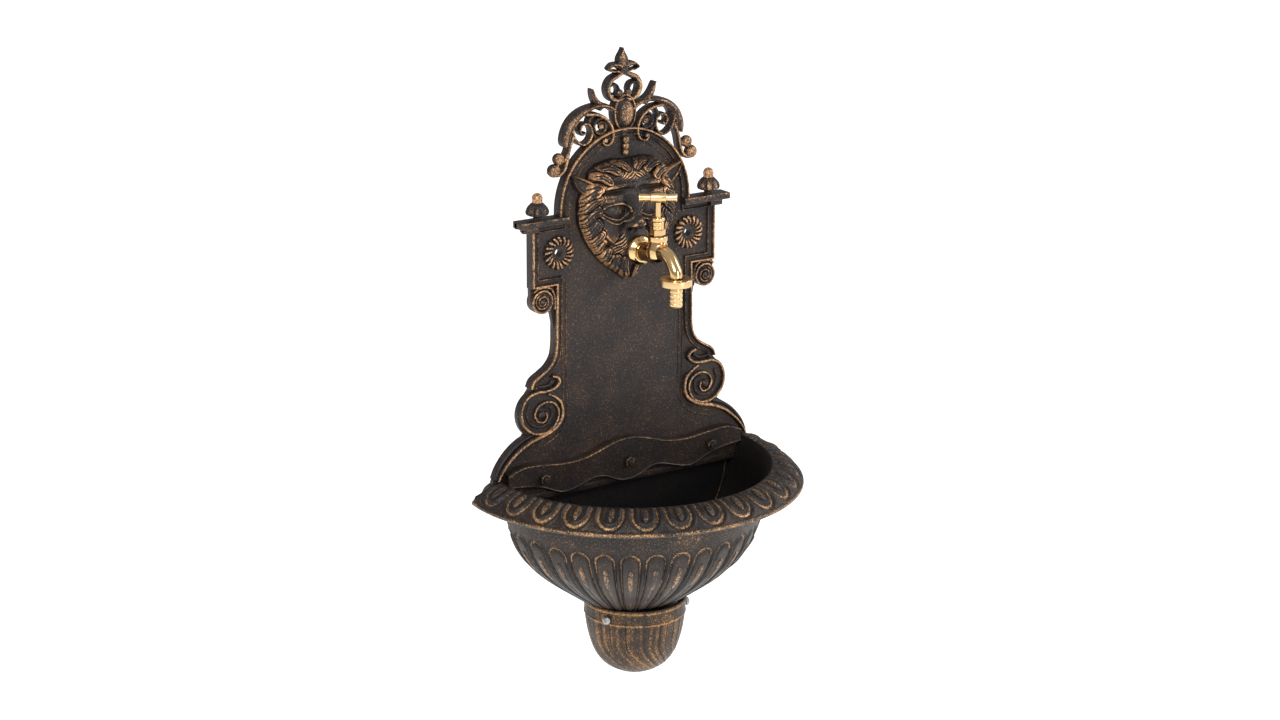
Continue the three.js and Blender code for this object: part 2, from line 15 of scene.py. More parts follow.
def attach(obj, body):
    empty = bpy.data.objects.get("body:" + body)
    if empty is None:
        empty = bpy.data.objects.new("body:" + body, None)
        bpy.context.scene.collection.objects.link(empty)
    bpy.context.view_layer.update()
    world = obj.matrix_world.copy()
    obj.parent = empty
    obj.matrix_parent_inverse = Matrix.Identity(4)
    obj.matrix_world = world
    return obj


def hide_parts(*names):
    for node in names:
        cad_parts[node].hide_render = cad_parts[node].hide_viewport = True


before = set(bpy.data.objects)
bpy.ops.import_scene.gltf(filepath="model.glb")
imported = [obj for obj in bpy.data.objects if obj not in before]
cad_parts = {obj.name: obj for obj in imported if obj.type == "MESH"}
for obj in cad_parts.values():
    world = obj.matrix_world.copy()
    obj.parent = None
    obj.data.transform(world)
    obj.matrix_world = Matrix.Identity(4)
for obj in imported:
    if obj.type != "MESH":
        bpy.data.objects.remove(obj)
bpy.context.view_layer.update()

MM = 0.001

# %% [markdown]
# ## Camera
# The photograph was taken from the left and a little above with a long lens, so the camera stands
# far off and looks down 16.5 degrees. Its place was worked out from points of known size on the
# plaque, which is surer than turning the view by eye.

# %% Camera
LENS_MM, SENSOR_MM = 84.375, 36
PLACE_M, FORWARD, ROLL_DEGREES = (-1.64033, -2.44625, 0.85601), (0.5399, 0.7924, -0.2840), 0.24


def make_camera():
    data = bpy.data.cameras.new("camera")
    data.lens, data.sensor_width, data.clip_start, data.clip_end = LENS_MM, SENSOR_MM, 0.05, 80
    data.dof.use_dof = False
    cam = bpy.data.objects.new("camera", data)
    bpy.context.collection.objects.link(cam)
    forward = Vector(FORWARD).normalized()
    right = forward.cross(Vector((0, 0, 1))).normalized()
    up = right.cross(forward)
    roll = math.radians(ROLL_DEGREES)
    right, up = right * math.cos(roll) + up * math.sin(roll), up * math.cos(roll) - right * math.sin(roll)
    turn = Matrix((right, up, -forward)).transposed().to_4x4()
    cam.matrix_world = Matrix.Translation(PLACE_M) @ turn
    bpy.context.scene.camera = cam
    return cam


print("camera at", tuple(round(v, 3) for v in make_camera().matrix_world.translation))

# %% [markdown]
# ## Light
# A studio shot on white: large soft lights from the left, the front and the right edge, and a
# white surround. The surround is darker below, so that the polished brass has something dark to
# mirror. Area lights were chosen over a sun because their edges show as soft bands in the brass.

# %% Light
def soft_light(name, at, look_at, width, height, power):
    data = bpy.data.lights.new(name, "AREA")
    data.shape, data.size, data.size_y, data.energy = "RECTANGLE", width, height, power
    lamp = bpy.data.objects.new(name, data)
    bpy.context.collection.objects.link(lamp)
    lamp.location = at
    lamp.rotation_euler = (Vector(look_at) - Vector(at)).to_track_quat("-Z", "Y").to_euler()
    print("light", name, power, "W")


def white_studio(strength):
    world = bpy.data.worlds.new("studio")
    bpy.context.scene.world = world
    world.use_nodes = True
    tree = world.node_tree
    tree.nodes.clear()
    add, link = tree.nodes.new, tree.links.new
    out, mix, path = add("ShaderNodeOutputWorld"), add("ShaderNodeMixShader"), add("ShaderNodeLightPath")
    seen, lit = add("ShaderNodeBackground"), add("ShaderNodeBackground")
    seen.inputs["Color"].default_value = (1, 1, 1, 1)
    lit.inputs["Strength"].default_value = strength
    ramp = add("ShaderNodeValToRGB")
    low, high = ramp.color_ramp.elements
    low.position, low.color, high.position, high.color = 0.36, (0.07, 0.055, 0.045, 1), 0.66, (1, 1, 1, 1)
    split, coords, half = add("ShaderNodeSeparateXYZ"), add("ShaderNodeTexCoord"), add("ShaderNodeMath")
    half.operation = "MULTIPLY_ADD"
    half.inputs[1].default_value = half.inputs[2].default_value = 0.5
    link(coords.outputs["Generated"], split.inputs[0])
    link(split.outputs["Z"], half.inputs[0])
    link(half.outputs[0], ramp.inputs["Fac"])
    link(ramp.outputs["Color"], lit.inputs["Color"])
    link(path.outputs["Is Camera Ray"], mix.inputs[0])
    link(lit.outputs[0], mix.inputs[1])
    link(seen.outputs[0], mix.inputs[2])
    link(mix.outputs[0], out.inputs["Surface"])
    bpy.context.scene.view_settings.view_transform = "Standard"


STUDIO_FILL = 0.5
white_studio(STUDIO_FILL)
soft_light("key", (-1.5, -1.6, 1.5), (0, 0, 0.02), 0.9, 0.9, 46)
soft_light("front", (0.5, -2.4, 0.4), (0, 0, 0.0), 0.5, 1.4, 15)
soft_light("rim", (1.7, -0.7, 0.9), (0, 0, 0.05), 0.5, 1.2, 18)

# %% [markdown]
# ## Materials
# The iron is nearly black, and gold-bronze has been rubbed over whatever stands out. Every vertex
# carries how much gold it takes in one attribute, and noise breaks the edge of the rubbing. The same
# attribute also carries painted shade: where it is below zero the iron is painted blacker and holds
# fewer specks. A painted texture could do the same, but an attribute follows the carving by itself.

# %% Material helpers
def linear(code):
    rgb = [int(code[i:i + 2], 16) / 255 for i in (1, 3, 5)]
    return tuple((c / 12.92 if c <= 0.04045 else ((c + 0.055) / 1.055) ** 2.4) for c in rgb) + (1,)


def node(tree, kind, inputs=None, **settings):
    made = tree.nodes.new(kind)
    for name, value in settings.items():
        setattr(made, name, value)
    for socket, value in (inputs or {}).items():
        if isinstance(value, bpy.types.NodeSocket):
            tree.links.new(value, made.inputs[socket])
        else:
            made.inputs[socket].default_value = value
    return made


def blend_colour(tree, factor, a, b):
    return node(tree, "ShaderNodeMix", {0: factor, 6: a, 7: b}, data_type="RGBA").outputs[2]


def ramped(tree, value, low, high, to_low=0.0, to_high=1.0):
    return node(tree, "ShaderNodeMapRange", {"Value": value, "From Min": low, "From Max": high,
                "To Min": to_low, "To Max": to_high}, interpolation_type="SMOOTHSTEP").outputs["Result"]


def maths(tree, operation, a, b=0.0):
    return node(tree, "ShaderNodeMath", {0: a, 1: b}, operation=operation).outputs[0]


def noise(tree, where, scale, detail, rough):
    return node(tree, "ShaderNodeTexNoise", {"Vector": where, "Scale": scale, "Detail": detail,
                                             "Roughness": rough}).outputs["Fac"]


def new_material(name):
    made = bpy.data.materials.new(name)
    made.use_nodes = True
    made.node_tree.nodes.clear()
    return made, made.node_tree


print("helpers ready; a mid grey reads as", round(linear("#808080")[0], 3))

# %% [markdown]
# ### Rubbed iron
# Three sizes of noise work together: a broad one makes worn patches, a middle one breaks the gold
# on the crests, and a fine one sprinkles the dusty specks seen all over the plain field.

# %% Rubbed iron
SPECK_SCALE, GRAIN_SCALE, PATCH_SCALE = 900, 430, 34
SHADED_BLACK = "#060608"


def antique_iron(name, dark_a, dark_b, gold_a, gold_b, rub=0.0, dust=0.3):
    made, tree = new_material(name)
    where = node(tree, "ShaderNodeTexCoord").outputs["Object"]
    gilt = node(tree, "ShaderNodeAttribute", attribute_name="gilt").outputs["Fac"]
    fine, grain = noise(tree, where, SPECK_SCALE, 3, 0.7), noise(tree, where, GRAIN_SCALE, 2, 0.6)
    patch = noise(tree, where, PATCH_SCALE, 3, 0.55)
    rubbed = maths(tree, "ADD", gilt, maths(tree, "MULTIPLY", maths(tree, "SUBTRACT", fine, 0.5), 2.3))
    rubbed = maths(tree, "ADD", rubbed, maths(tree, "MULTIPLY", maths(tree, "SUBTRACT", patch, 0.5), 0.9))
    crest = ramped(tree, maths(tree, "ADD", rubbed, rub), 0.52, 1.0)
    worn = maths(tree, "ADD", fine, maths(tree, "MULTIPLY", patch, 0.12))
    specks = maths(tree, "MAXIMUM", ramped(tree, worn, 0.58, 0.68, 0.0, dust),
                   ramped(tree, worn, 0.68, 0.76, 0.0, dust + 0.4))
    # painted shade: fewer dust specks where the attribute is below zero
    specks = maths(tree, "MULTIPLY", specks, ramped(tree, gilt, -0.42, -0.18, 0.12, 1.0))
    amount = maths(tree, "MAXIMUM", crest, specks)
    dark = blend_colour(tree, ramped(tree, patch, 0.35, 0.68), linear(dark_a), linear(dark_b))
    # painted shade: below zero the dark iron is blended towards SHADED_BLACK
    dark = blend_colour(tree, ramped(tree, gilt, -0.42, -0.1), linear(SHADED_BLACK), dark)
    tone = maths(tree, "ADD", grain, maths(tree, "MULTIPLY", gilt, 0.22))
    gold = blend_colour(tree, ramped(tree, tone, 0.42, 0.85), linear(gold_a), linear(gold_b))
    bump = node(tree, "ShaderNodeBump", {"Height": maths(tree, "ADD", fine, grain), "Strength": 0.35,
                                         "Distance": 0.0006})
    shader = node(tree, "ShaderNodeBsdfPrincipled", {
        "Base Color": blend_colour(tree, amount, dark, gold), "Roughness": ramped(tree, amount, 0, 1, 0.5,
                0.42),
        "Metallic": ramped(tree, amount, 0, 1, 0.25, 0.6), "Specular IOR Level": 0.42,
        "Normal": bump.outputs[0]})
    node(tree, "ShaderNodeOutputMaterial", {"Surface": shader.outputs[0]})
    print("material", name)
    return made


IRON = antique_iron("antique_iron", "#141215", "#1f1b1a", "#6b452b", "#d3a578", rub=-0.05)
BASIN_IRON = antique_iron("basin_iron", "#121113", "#1c1816", "#66452b", "#cba173", dust=0.36)
COVER_IRON = antique_iron("cover_iron", "#171311", "#291f17", "#65462a", "#b08655", rub=0.24, dust=0.6)

# %% [markdown]
# ### Brass and steel
# The tap is polished brass that mirrors the studio, while the handle, the union nut and the tail
# are finely turned and so a little duller. The screw in the cover is plain grey steel.

# %% Brass and steel
def metal(name, colour, roughness):
    made, tree = new_material(name)
    where = node(tree, "ShaderNodeTexCoord").outputs["Object"]
    wave = noise(tree, where, 160, 2, 0.5)
    bump = node(tree, "ShaderNodeBump", {"Height": wave, "Strength": 0.05, "Distance": 0.0004}).outputs[0]
    shader = node(tree, "ShaderNodeBsdfPrincipled", {
        "Base Color": linear(colour), "Metallic": 1.0, "Normal": bump,
        "Roughness": ramped(tree, wave, 0.3, 0.7, roughness, roughness + 0.06)})
    node(tree, "ShaderNodeOutputMaterial", {"Surface": shader.outputs[0]})
    print("material", name)
    return made


BRASS = metal("polished_brass", "#dcb985", 0.12)
SATIN_BRASS = metal("turned_brass", "#dbbb8b", 0.27)
STEEL = metal("dull_steel", "#9a9997", 0.4)

# %% [markdown]
# ## Shells
# A casting has no seams, yet it is easiest to model as many closed shells that run into each
# other. A Heap gathers such shells, each a grid of points with its gold and painted shade, and makes
# one mesh of them. Boolean joins would be cleaner inside, but nobody sees the inside of a casting.

# %% Heap of shells
class Heap:
    def __init__(self):
        self.points, self.gilt, self.faces, self.count = [], [], [], 0

    def add(self, points, gilt, faces):
        points = np.asarray(points, float).reshape(-1, 3)
        volume = 0.0
        for face in faces:
            face = np.asarray(face)
            a = points[face[..., 0]]
            for k in range(1, face.shape[-1] - 1):
                volume += np.sum(a * np.cross(points[face[..., k]], points[face[..., k + 1]]))
        turned = [np.asarray(f)[..., ::-1] if volume < 0 else np.asarray(f) for f in faces]
        self.points.append(points)
        self.gilt.append(np.broadcast_to(np.asarray(gilt, float).reshape(-1), (len(points),)))
        self.faces += [f + self.count for f in turned]
        self.count += len(points)

    def grid(self, points, gilt, caps=True, both=False):
        points = np.asarray(points, float)
        rows, cols = points.shape[:2]
        gilt = np.broadcast_to(np.asarray(gilt, float), (rows, cols))
        number = np.arange(rows * cols).reshape(rows, cols)
        nxt = np.roll(number, -1, 1)
        faces = [np.stack([number[:-1], nxt[:-1], nxt[1:], number[1:]], -1).reshape(-1, 4)]
        if caps:
            faces += [number[0][::-1], number[-1]]
        self.add(points, gilt, faces)
        if both:
            self.add(points * [-1, 1, 1], gilt, faces)

    def loose(self, name, material, sharp=38):
        mesh = bpy.data.meshes.new(name)
        faces = []
        for f in self.faces:
            faces += [tuple(f.tolist())] if f.ndim == 1 else [tuple(q) for q in f.tolist()]
        mesh.from_pydata((np.concatenate(self.points) * MM).tolist(), [], faces)
        gold = mesh.attributes.new("gilt", "FLOAT", "POINT")
        gold.data.foreach_set("value", np.concatenate(self.gilt).astype(np.float32))
        mesh.polygons.foreach_set("use_smooth", [True] * len(mesh.polygons))
        mesh.set_sharp_from_angle(angle=math.radians(sharp))
        mesh.materials.append(material)
        made = bpy.data.objects.new(name, mesh)
        bpy.context.collection.objects.link(made)
        return made

    def build(self, name, material, replaces, body, sharp=38):
        return dress(self.loose(name, material, sharp), replaces, body)


def dress(made, replaces, body):
    """Hangs a finished piece on its body and lets it stand in for the plain solids."""
    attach(made, body)
    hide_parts(*replaces)
    made.data.calc_loop_triangles()
    print(f"{made.name}: {len(made.data.loop_triangles)} triangles")
    return made


# %% [markdown]
# ### Curves, sweeps and turned shapes
# Mouldings are one cross-section drawn along a path, and round parts are one profile turned about
# an axis. Both are written as functions, so that a change of a number reshapes the moulding.

# %% Curves
def resample(dense, count):
    step = np.r_[0, np.cumsum(np.linalg.norm(np.diff(dense, axis=0), axis=1))]
    want = np.linspace(0, step[-1], count)
    return np.stack([np.interp(want, step, dense[:, k]) for k in range(dense.shape[1])], 1)


def through(points, count):
    """A smooth curve through the points, evenly spaced."""
    p = np.asarray(points, float)
    ext = np.concatenate([[2 * p[0] - p[1]], p, [2 * p[-1] - p[-2]]])
    out = []
    for i in range(len(p) - 1):
        t = np.linspace(0, 1, 24, endpoint=False)[:, None]
        a, b, c, d = ext[i:i + 4]
        out.append(0.5 * (2 * b + (c - a) * t + (2 * a - 5 * b + 4 * c - d) * t ** 2
                          + (3 * b - 3 * c + d - a) * t ** 3))
    return resample(np.concatenate(out + [p[-1:]]), count)


def spiral(cx, cz, r0, r1, start, turns, count):
    s = np.linspace(0, 1, count)
    a, r = start + turns * 2 * np.pi * s, r0 + (r1 - r0) * s
    return np.stack([cx + r * np.cos(a), cz + r * np.sin(a)], 1)


def step(v, a, b):
    t = np.clip((v - a) / (b - a), 0, 1)
    return t * t * (3 - 2 * t)


print("a quarter of a ring has", len(spiral(0, 0, 10, 10, 0, 0.25, 12)), "points")

# %% [markdown]
# ### Cross-sections, sweeps and lathes
# A moulding's cross-section also says where the gold was rubbed on, so a sweep lays the gold down
# with the shape. Blender's curve bevel and Screw modifier make the same shapes, but they can't
# carry such a value for each point.

# %% Sweeps and lathes
# each profile: place across (-1 to 1), height (0 to 1), gold
ROUND = np.array([(-1, 0, 0), (-1, .5, .05), (-.96, .68, .2), (-.82, .83, .45), (-.56, .94, .7),
                  (-.25, .99, .95),
                  (.25, .99, .95), (.56, .94, .7), (.82, .83, .45), (.96, .68, .2), (1, .5, .05), (1, 0, 0)])
BORDER = np.array([(1, 0, 0), (1, .55, 0), (.97, .8, .25), (.88, .93, .8), (.72, 1, .95), (.52, .99, .9),
                   (.38, .9, .5), (.28, .76, 0),
                   (.1, .66, -.1), (-.15, .62, -.1), (-.42, .64, -.1), (-.6, .7, .1), (-.7, .79, .75),
                   (-.82, .78, .6), (-.92, .66, 0),
                   (-1, .58, 0), (-1, 0, 0)])
LEAF = np.array([(-1, 0, 0), (-1, .45, .1), (-.95, .7, .5), (-.8, .82, .8), (-.62, .8, .45), (-.4, .86, .5),
                 (0, .99, .8),
                 (.35, .95, .75), (.62, .84, .6), (.85, .7, .5), (.97, .5, .2), (1, .3, 0), (1, 0, 0)])


def sweep(heap, path, width, back, front, shape=ROUND, both=True, gold=1.0):
    """Lays a moulding with the given cross-section along a flat path in the wall's plane."""
    p = np.asarray(path, float)
    s = np.linspace(0, 1, len(p))
    seg = np.diff(p, axis=0)
    seg /= np.linalg.norm(seg, axis=1)[:, None]
    normal = np.stack([-seg[:, 1], seg[:, 0]], 1)
    before, after = np.concatenate([normal[:1], normal]), np.concatenate([normal, normal[-1:]])
    mitre = (before + after) / np.maximum(1 + (before * after).sum(1), 0.35)[:, None]
    half = np.array([width(t) if callable(width) else width for t in s]) / 2
    lift = np.array([front(t) if callable(front) else front for t in s])
    u, h, g = shape.T
    flat = p[:, None, :] + mitre[:, None, :] * (u[None, :, None] * half[:, None, None])
    y = back + (lift[:, None] - back) * h[None, :]
    pts = np.stack([flat[..., 0], y, flat[..., 1]], -1)
    heap.grid(pts, np.broadcast_to(g * gold, pts.shape[:2]), both=both)


def rounded(profile, radius=0.5, steps=3):
    """Rounds the corners of a turned profile a little, so that its edges catch the light."""
    p = [np.array([q[0], q[1], q[2] if len(q) > 2 else np.nan]) for q in profile]
    out = [p[0]]
    for a, b, c in zip(p, p[1:], p[2:]):
        u, v = a - b, c - b
        lu, lv = np.linalg.norm(u[:2]), np.linalg.norm(v[:2])
        k = min(radius, lu * 0.45, lv * 0.45)
        for t in np.linspace(0, 1, steps + 1):
            e, f = b + u / max(lu, 1e-9) * k * (1 - t), b + v / max(lv, 1e-9) * k * t
            out.append(e * (1 - t) + f * t)
    return out + [p[-1]]


def lathe(heap, profile, seg=48, at=(0, 0), gold=0.5, along="z", both=False, lobes=None):
    """A turned solid. The profile is (radius, height[, gold]) from axis to axis, or a closed ring."""
    prof = np.asarray([(p[0], p[1], p[2] if len(p) > 2 else gold) for p in profile], float)
    prof[:, 2] = np.where(np.isnan(prof[:, 2]), gold, prof[:, 2])
    ring = prof[0, 0] > 0
    if ring:
        prof = np.concatenate([prof, prof[:1]])
    t = np.linspace(0, 2 * np.pi, seg, endpoint=False)
    r = np.maximum(prof[:, 0], 0.02)[:, None] * np.ones(seg)
    g = prof[:, 2][:, None] * np.ones(seg)
    if lobes:
        r, g = lobes(r, prof[:, 1][:, None], t[None, :], g)
    a, b, z = r * np.cos(t), r * np.sin(t), prof[:, 1][:, None] * np.ones(seg)
    pts = np.stack([a + at[0], b + at[1], z], -1) if along == "z" else np.stack([a + at[0], -z, b + at[1]],
            -1)
    heap.grid(pts, g, caps=not ring, both=both)


def ball(heap, cx, cy, cz, r, gold=0.8, both=True):
    a, t = np.linspace(-np.pi / 2, np.pi / 2, 16), np.linspace(0, 2 * np.pi, 28, endpoint=False)
    ca, sa = np.maximum(np.cos(a), 0.01)[:, None], np.sin(a)[:, None]
    pts = np.stack([cx + r * ca * np.cos(t), cy + r * sa * np.ones(28),
                    cz + r * ca * np.sin(t)], -1)
    heap.grid(pts, gold * np.clip(-sa + 0.35, 0, 1) * np.ones(28), both=both)


def box_shell(heap, x0, x1, y0, y1, z0, z1, edge=1.0, gold=1.0):
    """A bar with rounded front edges."""
    d = math.copysign(edge, x1 - x0)
    # the top face fades to gold -0.2 at the wall: a little painted shade in the corner
    prof = np.array([(y0, z0, 0), (y1 + edge, z0, .2), (y1 + .3 * edge, z0 + .3 * edge, .7),
                     (y1, z0 + edge, .6), (y1, (z0 + z1) / 2, .5),
                     (y1, z1 - edge, .8), (y1 + .3 * edge, z1 - .3 * edge, .9), (y1 + edge, z1, .4),
                     (y0, z1, -.2)])
    cy, cz = (y0 + y1) / 2, (z0 + z1) / 2
    rows = []
    for x, k in ((x0, 0), (x1 - d, 0), (x1 - .3 * d, .3 * edge), (x1, edge)):
        ky, kz = 1 - k / abs(y1 - y0) * 2, 1 - k / abs(z1 - z0) * 2
        rows.append([(x, cy + (y - cy) * ky, cz + (z - cz) * kz) for y, z, g in prof])
    heap.grid(np.array(rows), np.tile(prof[:, 2] * gold, (4, 1)))


print("profiles:", ", ".join(f"{n} {len(p)} points" for n, p in (("round", ROUND), ("border", BORDER),
        ("leaf", LEAF))))

# %% [markdown]
# ## What repeats: Geometry Nodes
# Petals, eggs, bolts and ribs are one small piece set out many times. One node tree does it: the
# n-th copy is moved by n steps and turned by n angles about an axis. A Python loop would work as
# well, but here the count and the spacing stay sliders on the modifier until the mesh is made.

# %% Repeating tree
def new_tree(name, inputs):
    tree = bpy.data.node_groups.new(name, "GeometryNodeTree")
    ids = {}
    for label, kind, value in inputs:
        made = tree.interface.new_socket(label, in_out="INPUT", socket_type="NodeSocket" + kind)
        if value is not None:
            made.default_value = value
        ids[label] = made.identifier
    tree.interface.new_socket("Geometry", in_out="OUTPUT", socket_type="NodeSocketGeometry")
    return tree, ids, tree.nodes.new("NodeGroupInput").outputs, tree.nodes.new("NodeGroupOutput").inputs


def finish_tree(tree, instances, centre, finish, out):
    solid = node(tree, "GeometryNodeRealizeInstances", {0: instances}).outputs[0]
    moved = node(tree, "GeometryNodeTransform", {"Geometry": solid, "Translation": centre}).outputs[0]
    dressed = node(tree, "GeometryNodeSetMaterial", {"Geometry": moved, "Material": finish}).outputs[0]
    tree.links.new(dressed, out[0])


def repeat_tree():
    tree, ids, given, out = new_tree("repeat", (
        ("Geometry", "Geometry", None), ("Piece", "Object", None), ("Count", "Int", 8),
        ("Step", "Vector", (0, 0, 0)), ("Axis", "Vector", (0, 0, 1)),
        ("First angle", "Float", 0), ("Angle step", "Float", 0), ("Wobble", "Float", 0), ("Seed", "Int", 7),
        ("Centre", "Vector", (0, 0, 0)), ("Finish", "Material", None)))
    index = node(tree, "GeometryNodeInputIndex").outputs[0]
    place = node(tree, "ShaderNodeVectorMath", {0: given["Step"], "Scale": index},
                 operation="SCALE").outputs[0]
    points = node(tree, "GeometryNodePoints", {"Count": given["Count"], "Position": place}).outputs[0]
    angle = node(tree, "ShaderNodeMath", {0: index, 1: given["Angle step"], 2: given["First angle"]},
                 operation="MULTIPLY_ADD").outputs[0]
    low = maths(tree, "MULTIPLY", given["Wobble"], -1.0)
    chance = tree.nodes.new("FunctionNodeRandomValue")
    for socket, value in ((2, low), (3, given["Wobble"]), (8, given["Seed"])):
        tree.links.new(value, chance.inputs[socket])
    angle = maths(tree, "ADD", angle, chance.outputs[1])
    spin = node(tree, "ShaderNodeVectorMath", {0: given["Axis"], "Scale": angle},
                operation="SCALE").outputs[0]
    turn = node(tree, "FunctionNodeEulerToRotation", {0: spin}).outputs[0]
    piece = node(tree, "GeometryNodeObjectInfo", {"Object": given["Piece"]}).outputs["Geometry"]
    copies = node(tree, "GeometryNodeInstanceOnPoints", {"Points": points, "Instance": piece,
                                                         "Rotation": turn}).outputs[0]
    finish_tree(tree, copies, given["Centre"], given["Finish"], out)
    return tree, ids


def bead_tree():
    tree, ids, given, out = new_tree("beads", (
        ("Geometry", "Geometry", None), ("Spacing", "Float", 0.002), ("Bead", "Float", 0.0008),
        ("Gold", "Float", 0.8),
        ("Centre", "Vector", (0, 0, 0)), ("Finish", "Material", None)))
    line = node(tree, "GeometryNodeMeshToCurve", {0: given["Geometry"]}).outputs[0]
    spots = tree.nodes.new("GeometryNodeCurveToPoints")
    spots.mode = "LENGTH"
    tree.links.new(line, spots.inputs["Curve"])
    tree.links.new(given["Spacing"], spots.inputs["Length"])
    bead = node(tree, "GeometryNodeMeshIcoSphere", {"Radius": given["Bead"], "Subdivisions": 2}).outputs[0]
    smooth = node(tree, "GeometryNodeSetShadeSmooth", {0: bead}).outputs[0]
    gilded = node(tree, "GeometryNodeStoreNamedAttribute", {"Geometry": smooth, "Name": "gilt",
                                                            "Value": given["Gold"]}).outputs[0]
    copies = node(tree, "GeometryNodeInstanceOnPoints", {"Points": spots.outputs[0],
                                                         "Instance": gilded}).outputs[0]
    finish_tree(tree, copies, given["Centre"], given["Finish"], out)
    return tree, ids


REPEAT, BEADS = repeat_tree(), bead_tree()
print("trees:", REPEAT[0].name, "with", len(REPEAT[1]), "inputs,", BEADS[0].name, "with", len(BEADS[1]))

# %% [markdown]
# ### From tree to mesh
# A tree works on a modifier. Its inputs are set by the identifiers of their sockets before the
# object is first evaluated, then the result is kept as a plain mesh and the modifier goes, since
# a finished piece has to export without it.

# %% Running a tree
def grown(name, tree, values, source=None):
    """Puts the tree on an object, sets its inputs, and keeps the result as a plain mesh."""
    group, ids = tree
    made = bpy.data.objects.new(name, source or bpy.data.meshes.new(name))
    bpy.context.collection.objects.link(made)
    mod = made.modifiers.new("repeat", "NODES")
    mod.node_group = group
    for label, value in values.items():
        mod[ids[label]] = value
    bpy.context.view_layer.update()
    done = bpy.data.meshes.new_from_object(made.evaluated_get(bpy.context.evaluated_depsgraph_get()))
    made.modifiers.clear()
    made.data = done
    return made


def repeated(name, piece, material, replaces, slot, **values):
    values = {label.replace("_", " ").capitalize(): value for label, value in values.items()}
    made = grown(name, REPEAT, {"Piece": piece, "Finish": material, **values})
    bpy.data.objects.remove(piece)
    return dress(made, replaces, "fountain")


def beaded(name, paths, material, replaces, spacing, bead, gold):
    mesh = bpy.data.meshes.new(name)
    points, edges = [], []
    for path in paths:
        first = len(points)
        points += [tuple(np.asarray(p) * MM) for p in path]
        edges += [(k, k + 1) for k in range(first, len(points) - 1)]
    mesh.from_pydata(points, edges, [])
    made = grown(name, BEADS, {"Spacing": spacing * MM, "Bead": bead * MM, "Gold": gold, "Finish": material},
                 mesh)
    return dress(made, replaces, "fountain")


print("ready to repeat pieces")

# %% [markdown]
# ## The lion mask
# The mask is cast in low relief, about 34 mm deep at the nose. It is worked out as a height over the
# plaque, on rings that follow its outline. Sculpting by hand would also do, but a height made of
# named strokes can be put right one lock of hair at a time against the photograph.

# %% Outline and strokes
MASK_Z = 138.0
FIELD = -8.0
SIDE = np.array([(0, 71), (7, 76.5), (16, 84), (26, 90.5), (34, 98), (41, 106.5), (47.5, 116), (53, 127),
                 (57, 139), (57.5, 151), (56.5, 161),
                 (51.5, 170), (46.5, 180), (45, 187.5), (36, 194.5), (26, 197), (17, 198.3), (10, 197.4),
                 (0, 197.2)], float)


def mask_edge(angle):
    """Radius of the mask's outline at an angle from its middle."""
    a = np.arctan2(SIDE[:, 1] - MASK_Z, SIDE[:, 0])
    folded = np.where(np.cos(angle) < 0, np.pi - angle, angle)
    folded = (folded + np.pi) % (2 * np.pi) - np.pi
    return np.interp(folded, a, np.hypot(SIDE[:, 0], SIDE[:, 1] - MASK_Z))


def blob(x, z, cx, cz, rx, rz, height, tilt=0.0, power=2.0):
    c, s = math.cos(math.radians(tilt)), math.sin(math.radians(tilt))
    u, v = ((x - cx) * c + (z - cz) * s) / rx, (-(x - cx) * s + (z - cz) * c) / rz
    return height * np.exp(-((u * u + v * v) ** (power / 2)))


def stroke(x, z, points):
    """Signed distance to a smooth stroke, and how far along it (0 to 1) the nearest point lies."""
    c = through(points, 36)
    tang = np.gradient(c, axis=0)
    tang /= np.linalg.norm(tang, axis=1)[:, None]
    middle = c.mean(0)
    reach = np.linalg.norm(c - middle, axis=1).max() + 13
    near = (x - middle[0]) ** 2 + (z - middle[1]) ** 2 < reach * reach
    across, along = np.full(x.shape, 99.0), np.zeros(x.shape)
    dx, dz = x[near][:, None] - c[:, 0], z[near][:, None] - c[:, 1]
    k = (dx * dx + dz * dz).argmin(1)
    row = np.arange(len(k))
    side = tang[k, 0] * dz[row, k] - tang[k, 1] * dx[row, k]
    across[near] = np.where(side < 0, -1, 1) * np.hypot(dx[row, k], dz[row, k])
    along[near] = k / 35.0
    return across, along


def lock(h, x, z, points, width, base, lift=4.0, hairs=4):
    """Lays one lock of hair over what is there: rounded, ribbed and drawn to a point."""
    across, along = stroke(x, z, points)
    w = width * np.sqrt(np.clip(1 - ((along - 0.38) / 0.66) ** 2, 0.05, 1))
    v = across / w
    body = np.sqrt(np.clip(1 - v * v, 0, 1))
    ribs = np.abs(np.sin(np.pi * hairs * (v + 1) / 2)) ** 0.8
    top = base + lift * (0.25 + 0.75 * body) * (0.8 + 0.3 * np.sin(np.pi * along)) + 1.5 * ribs * body
    rim = np.clip((np.abs(v) - 1) / 0.22, 0, 1)
    h = np.where(np.abs(v) < 1.22, h - 1.6 * (1 - rim), h)
    return np.where(np.abs(v) < 1, top, h)


print("outline reaches", round(float(SIDE[:, 0].max()) * 2), "mm across")

# %% [markdown]
# ### The face
# The head is a low dome with a ring of hair locks round it. Brow, lids, cheek, nose and muzzle are
# soft blobs and strokes on the dome. Gold goes where the surface bends outward, as a cloth with
# bronze paste would leave it, and a few spots that the cloth presses on get more. Where it bends
# inward the value drops below zero, which paints shade into the hollows.

# %% The face as a height
MANE = [[(22, 98.5), (22.5, 91), (25.5, 85.5)], [(28.5, 107), (31, 99), (35, 92.5)],
        [(36.5, 117), (39.5, 109.5), (43.5, 101.5)],
        [(40.5, 127), (44.5, 119.5), (49.5, 110)], [(42, 138), (47.5, 130.5), (54, 120)],
        [(41, 150.5), (49, 145.5), (57, 134.5)],
        [(41, 162), (49, 158.5), (57.5, 149)], [(40.5, 172.5), (48, 168.5), (56, 161)]]
TUFTS = [([(28, 179), (36, 184.5), (46, 184)], 4.6), ([(5, 189), (12, 195), (22, 195)], 4.2),
         ([(17, 187), (26, 192), (37, 191.5)], 4.6)]


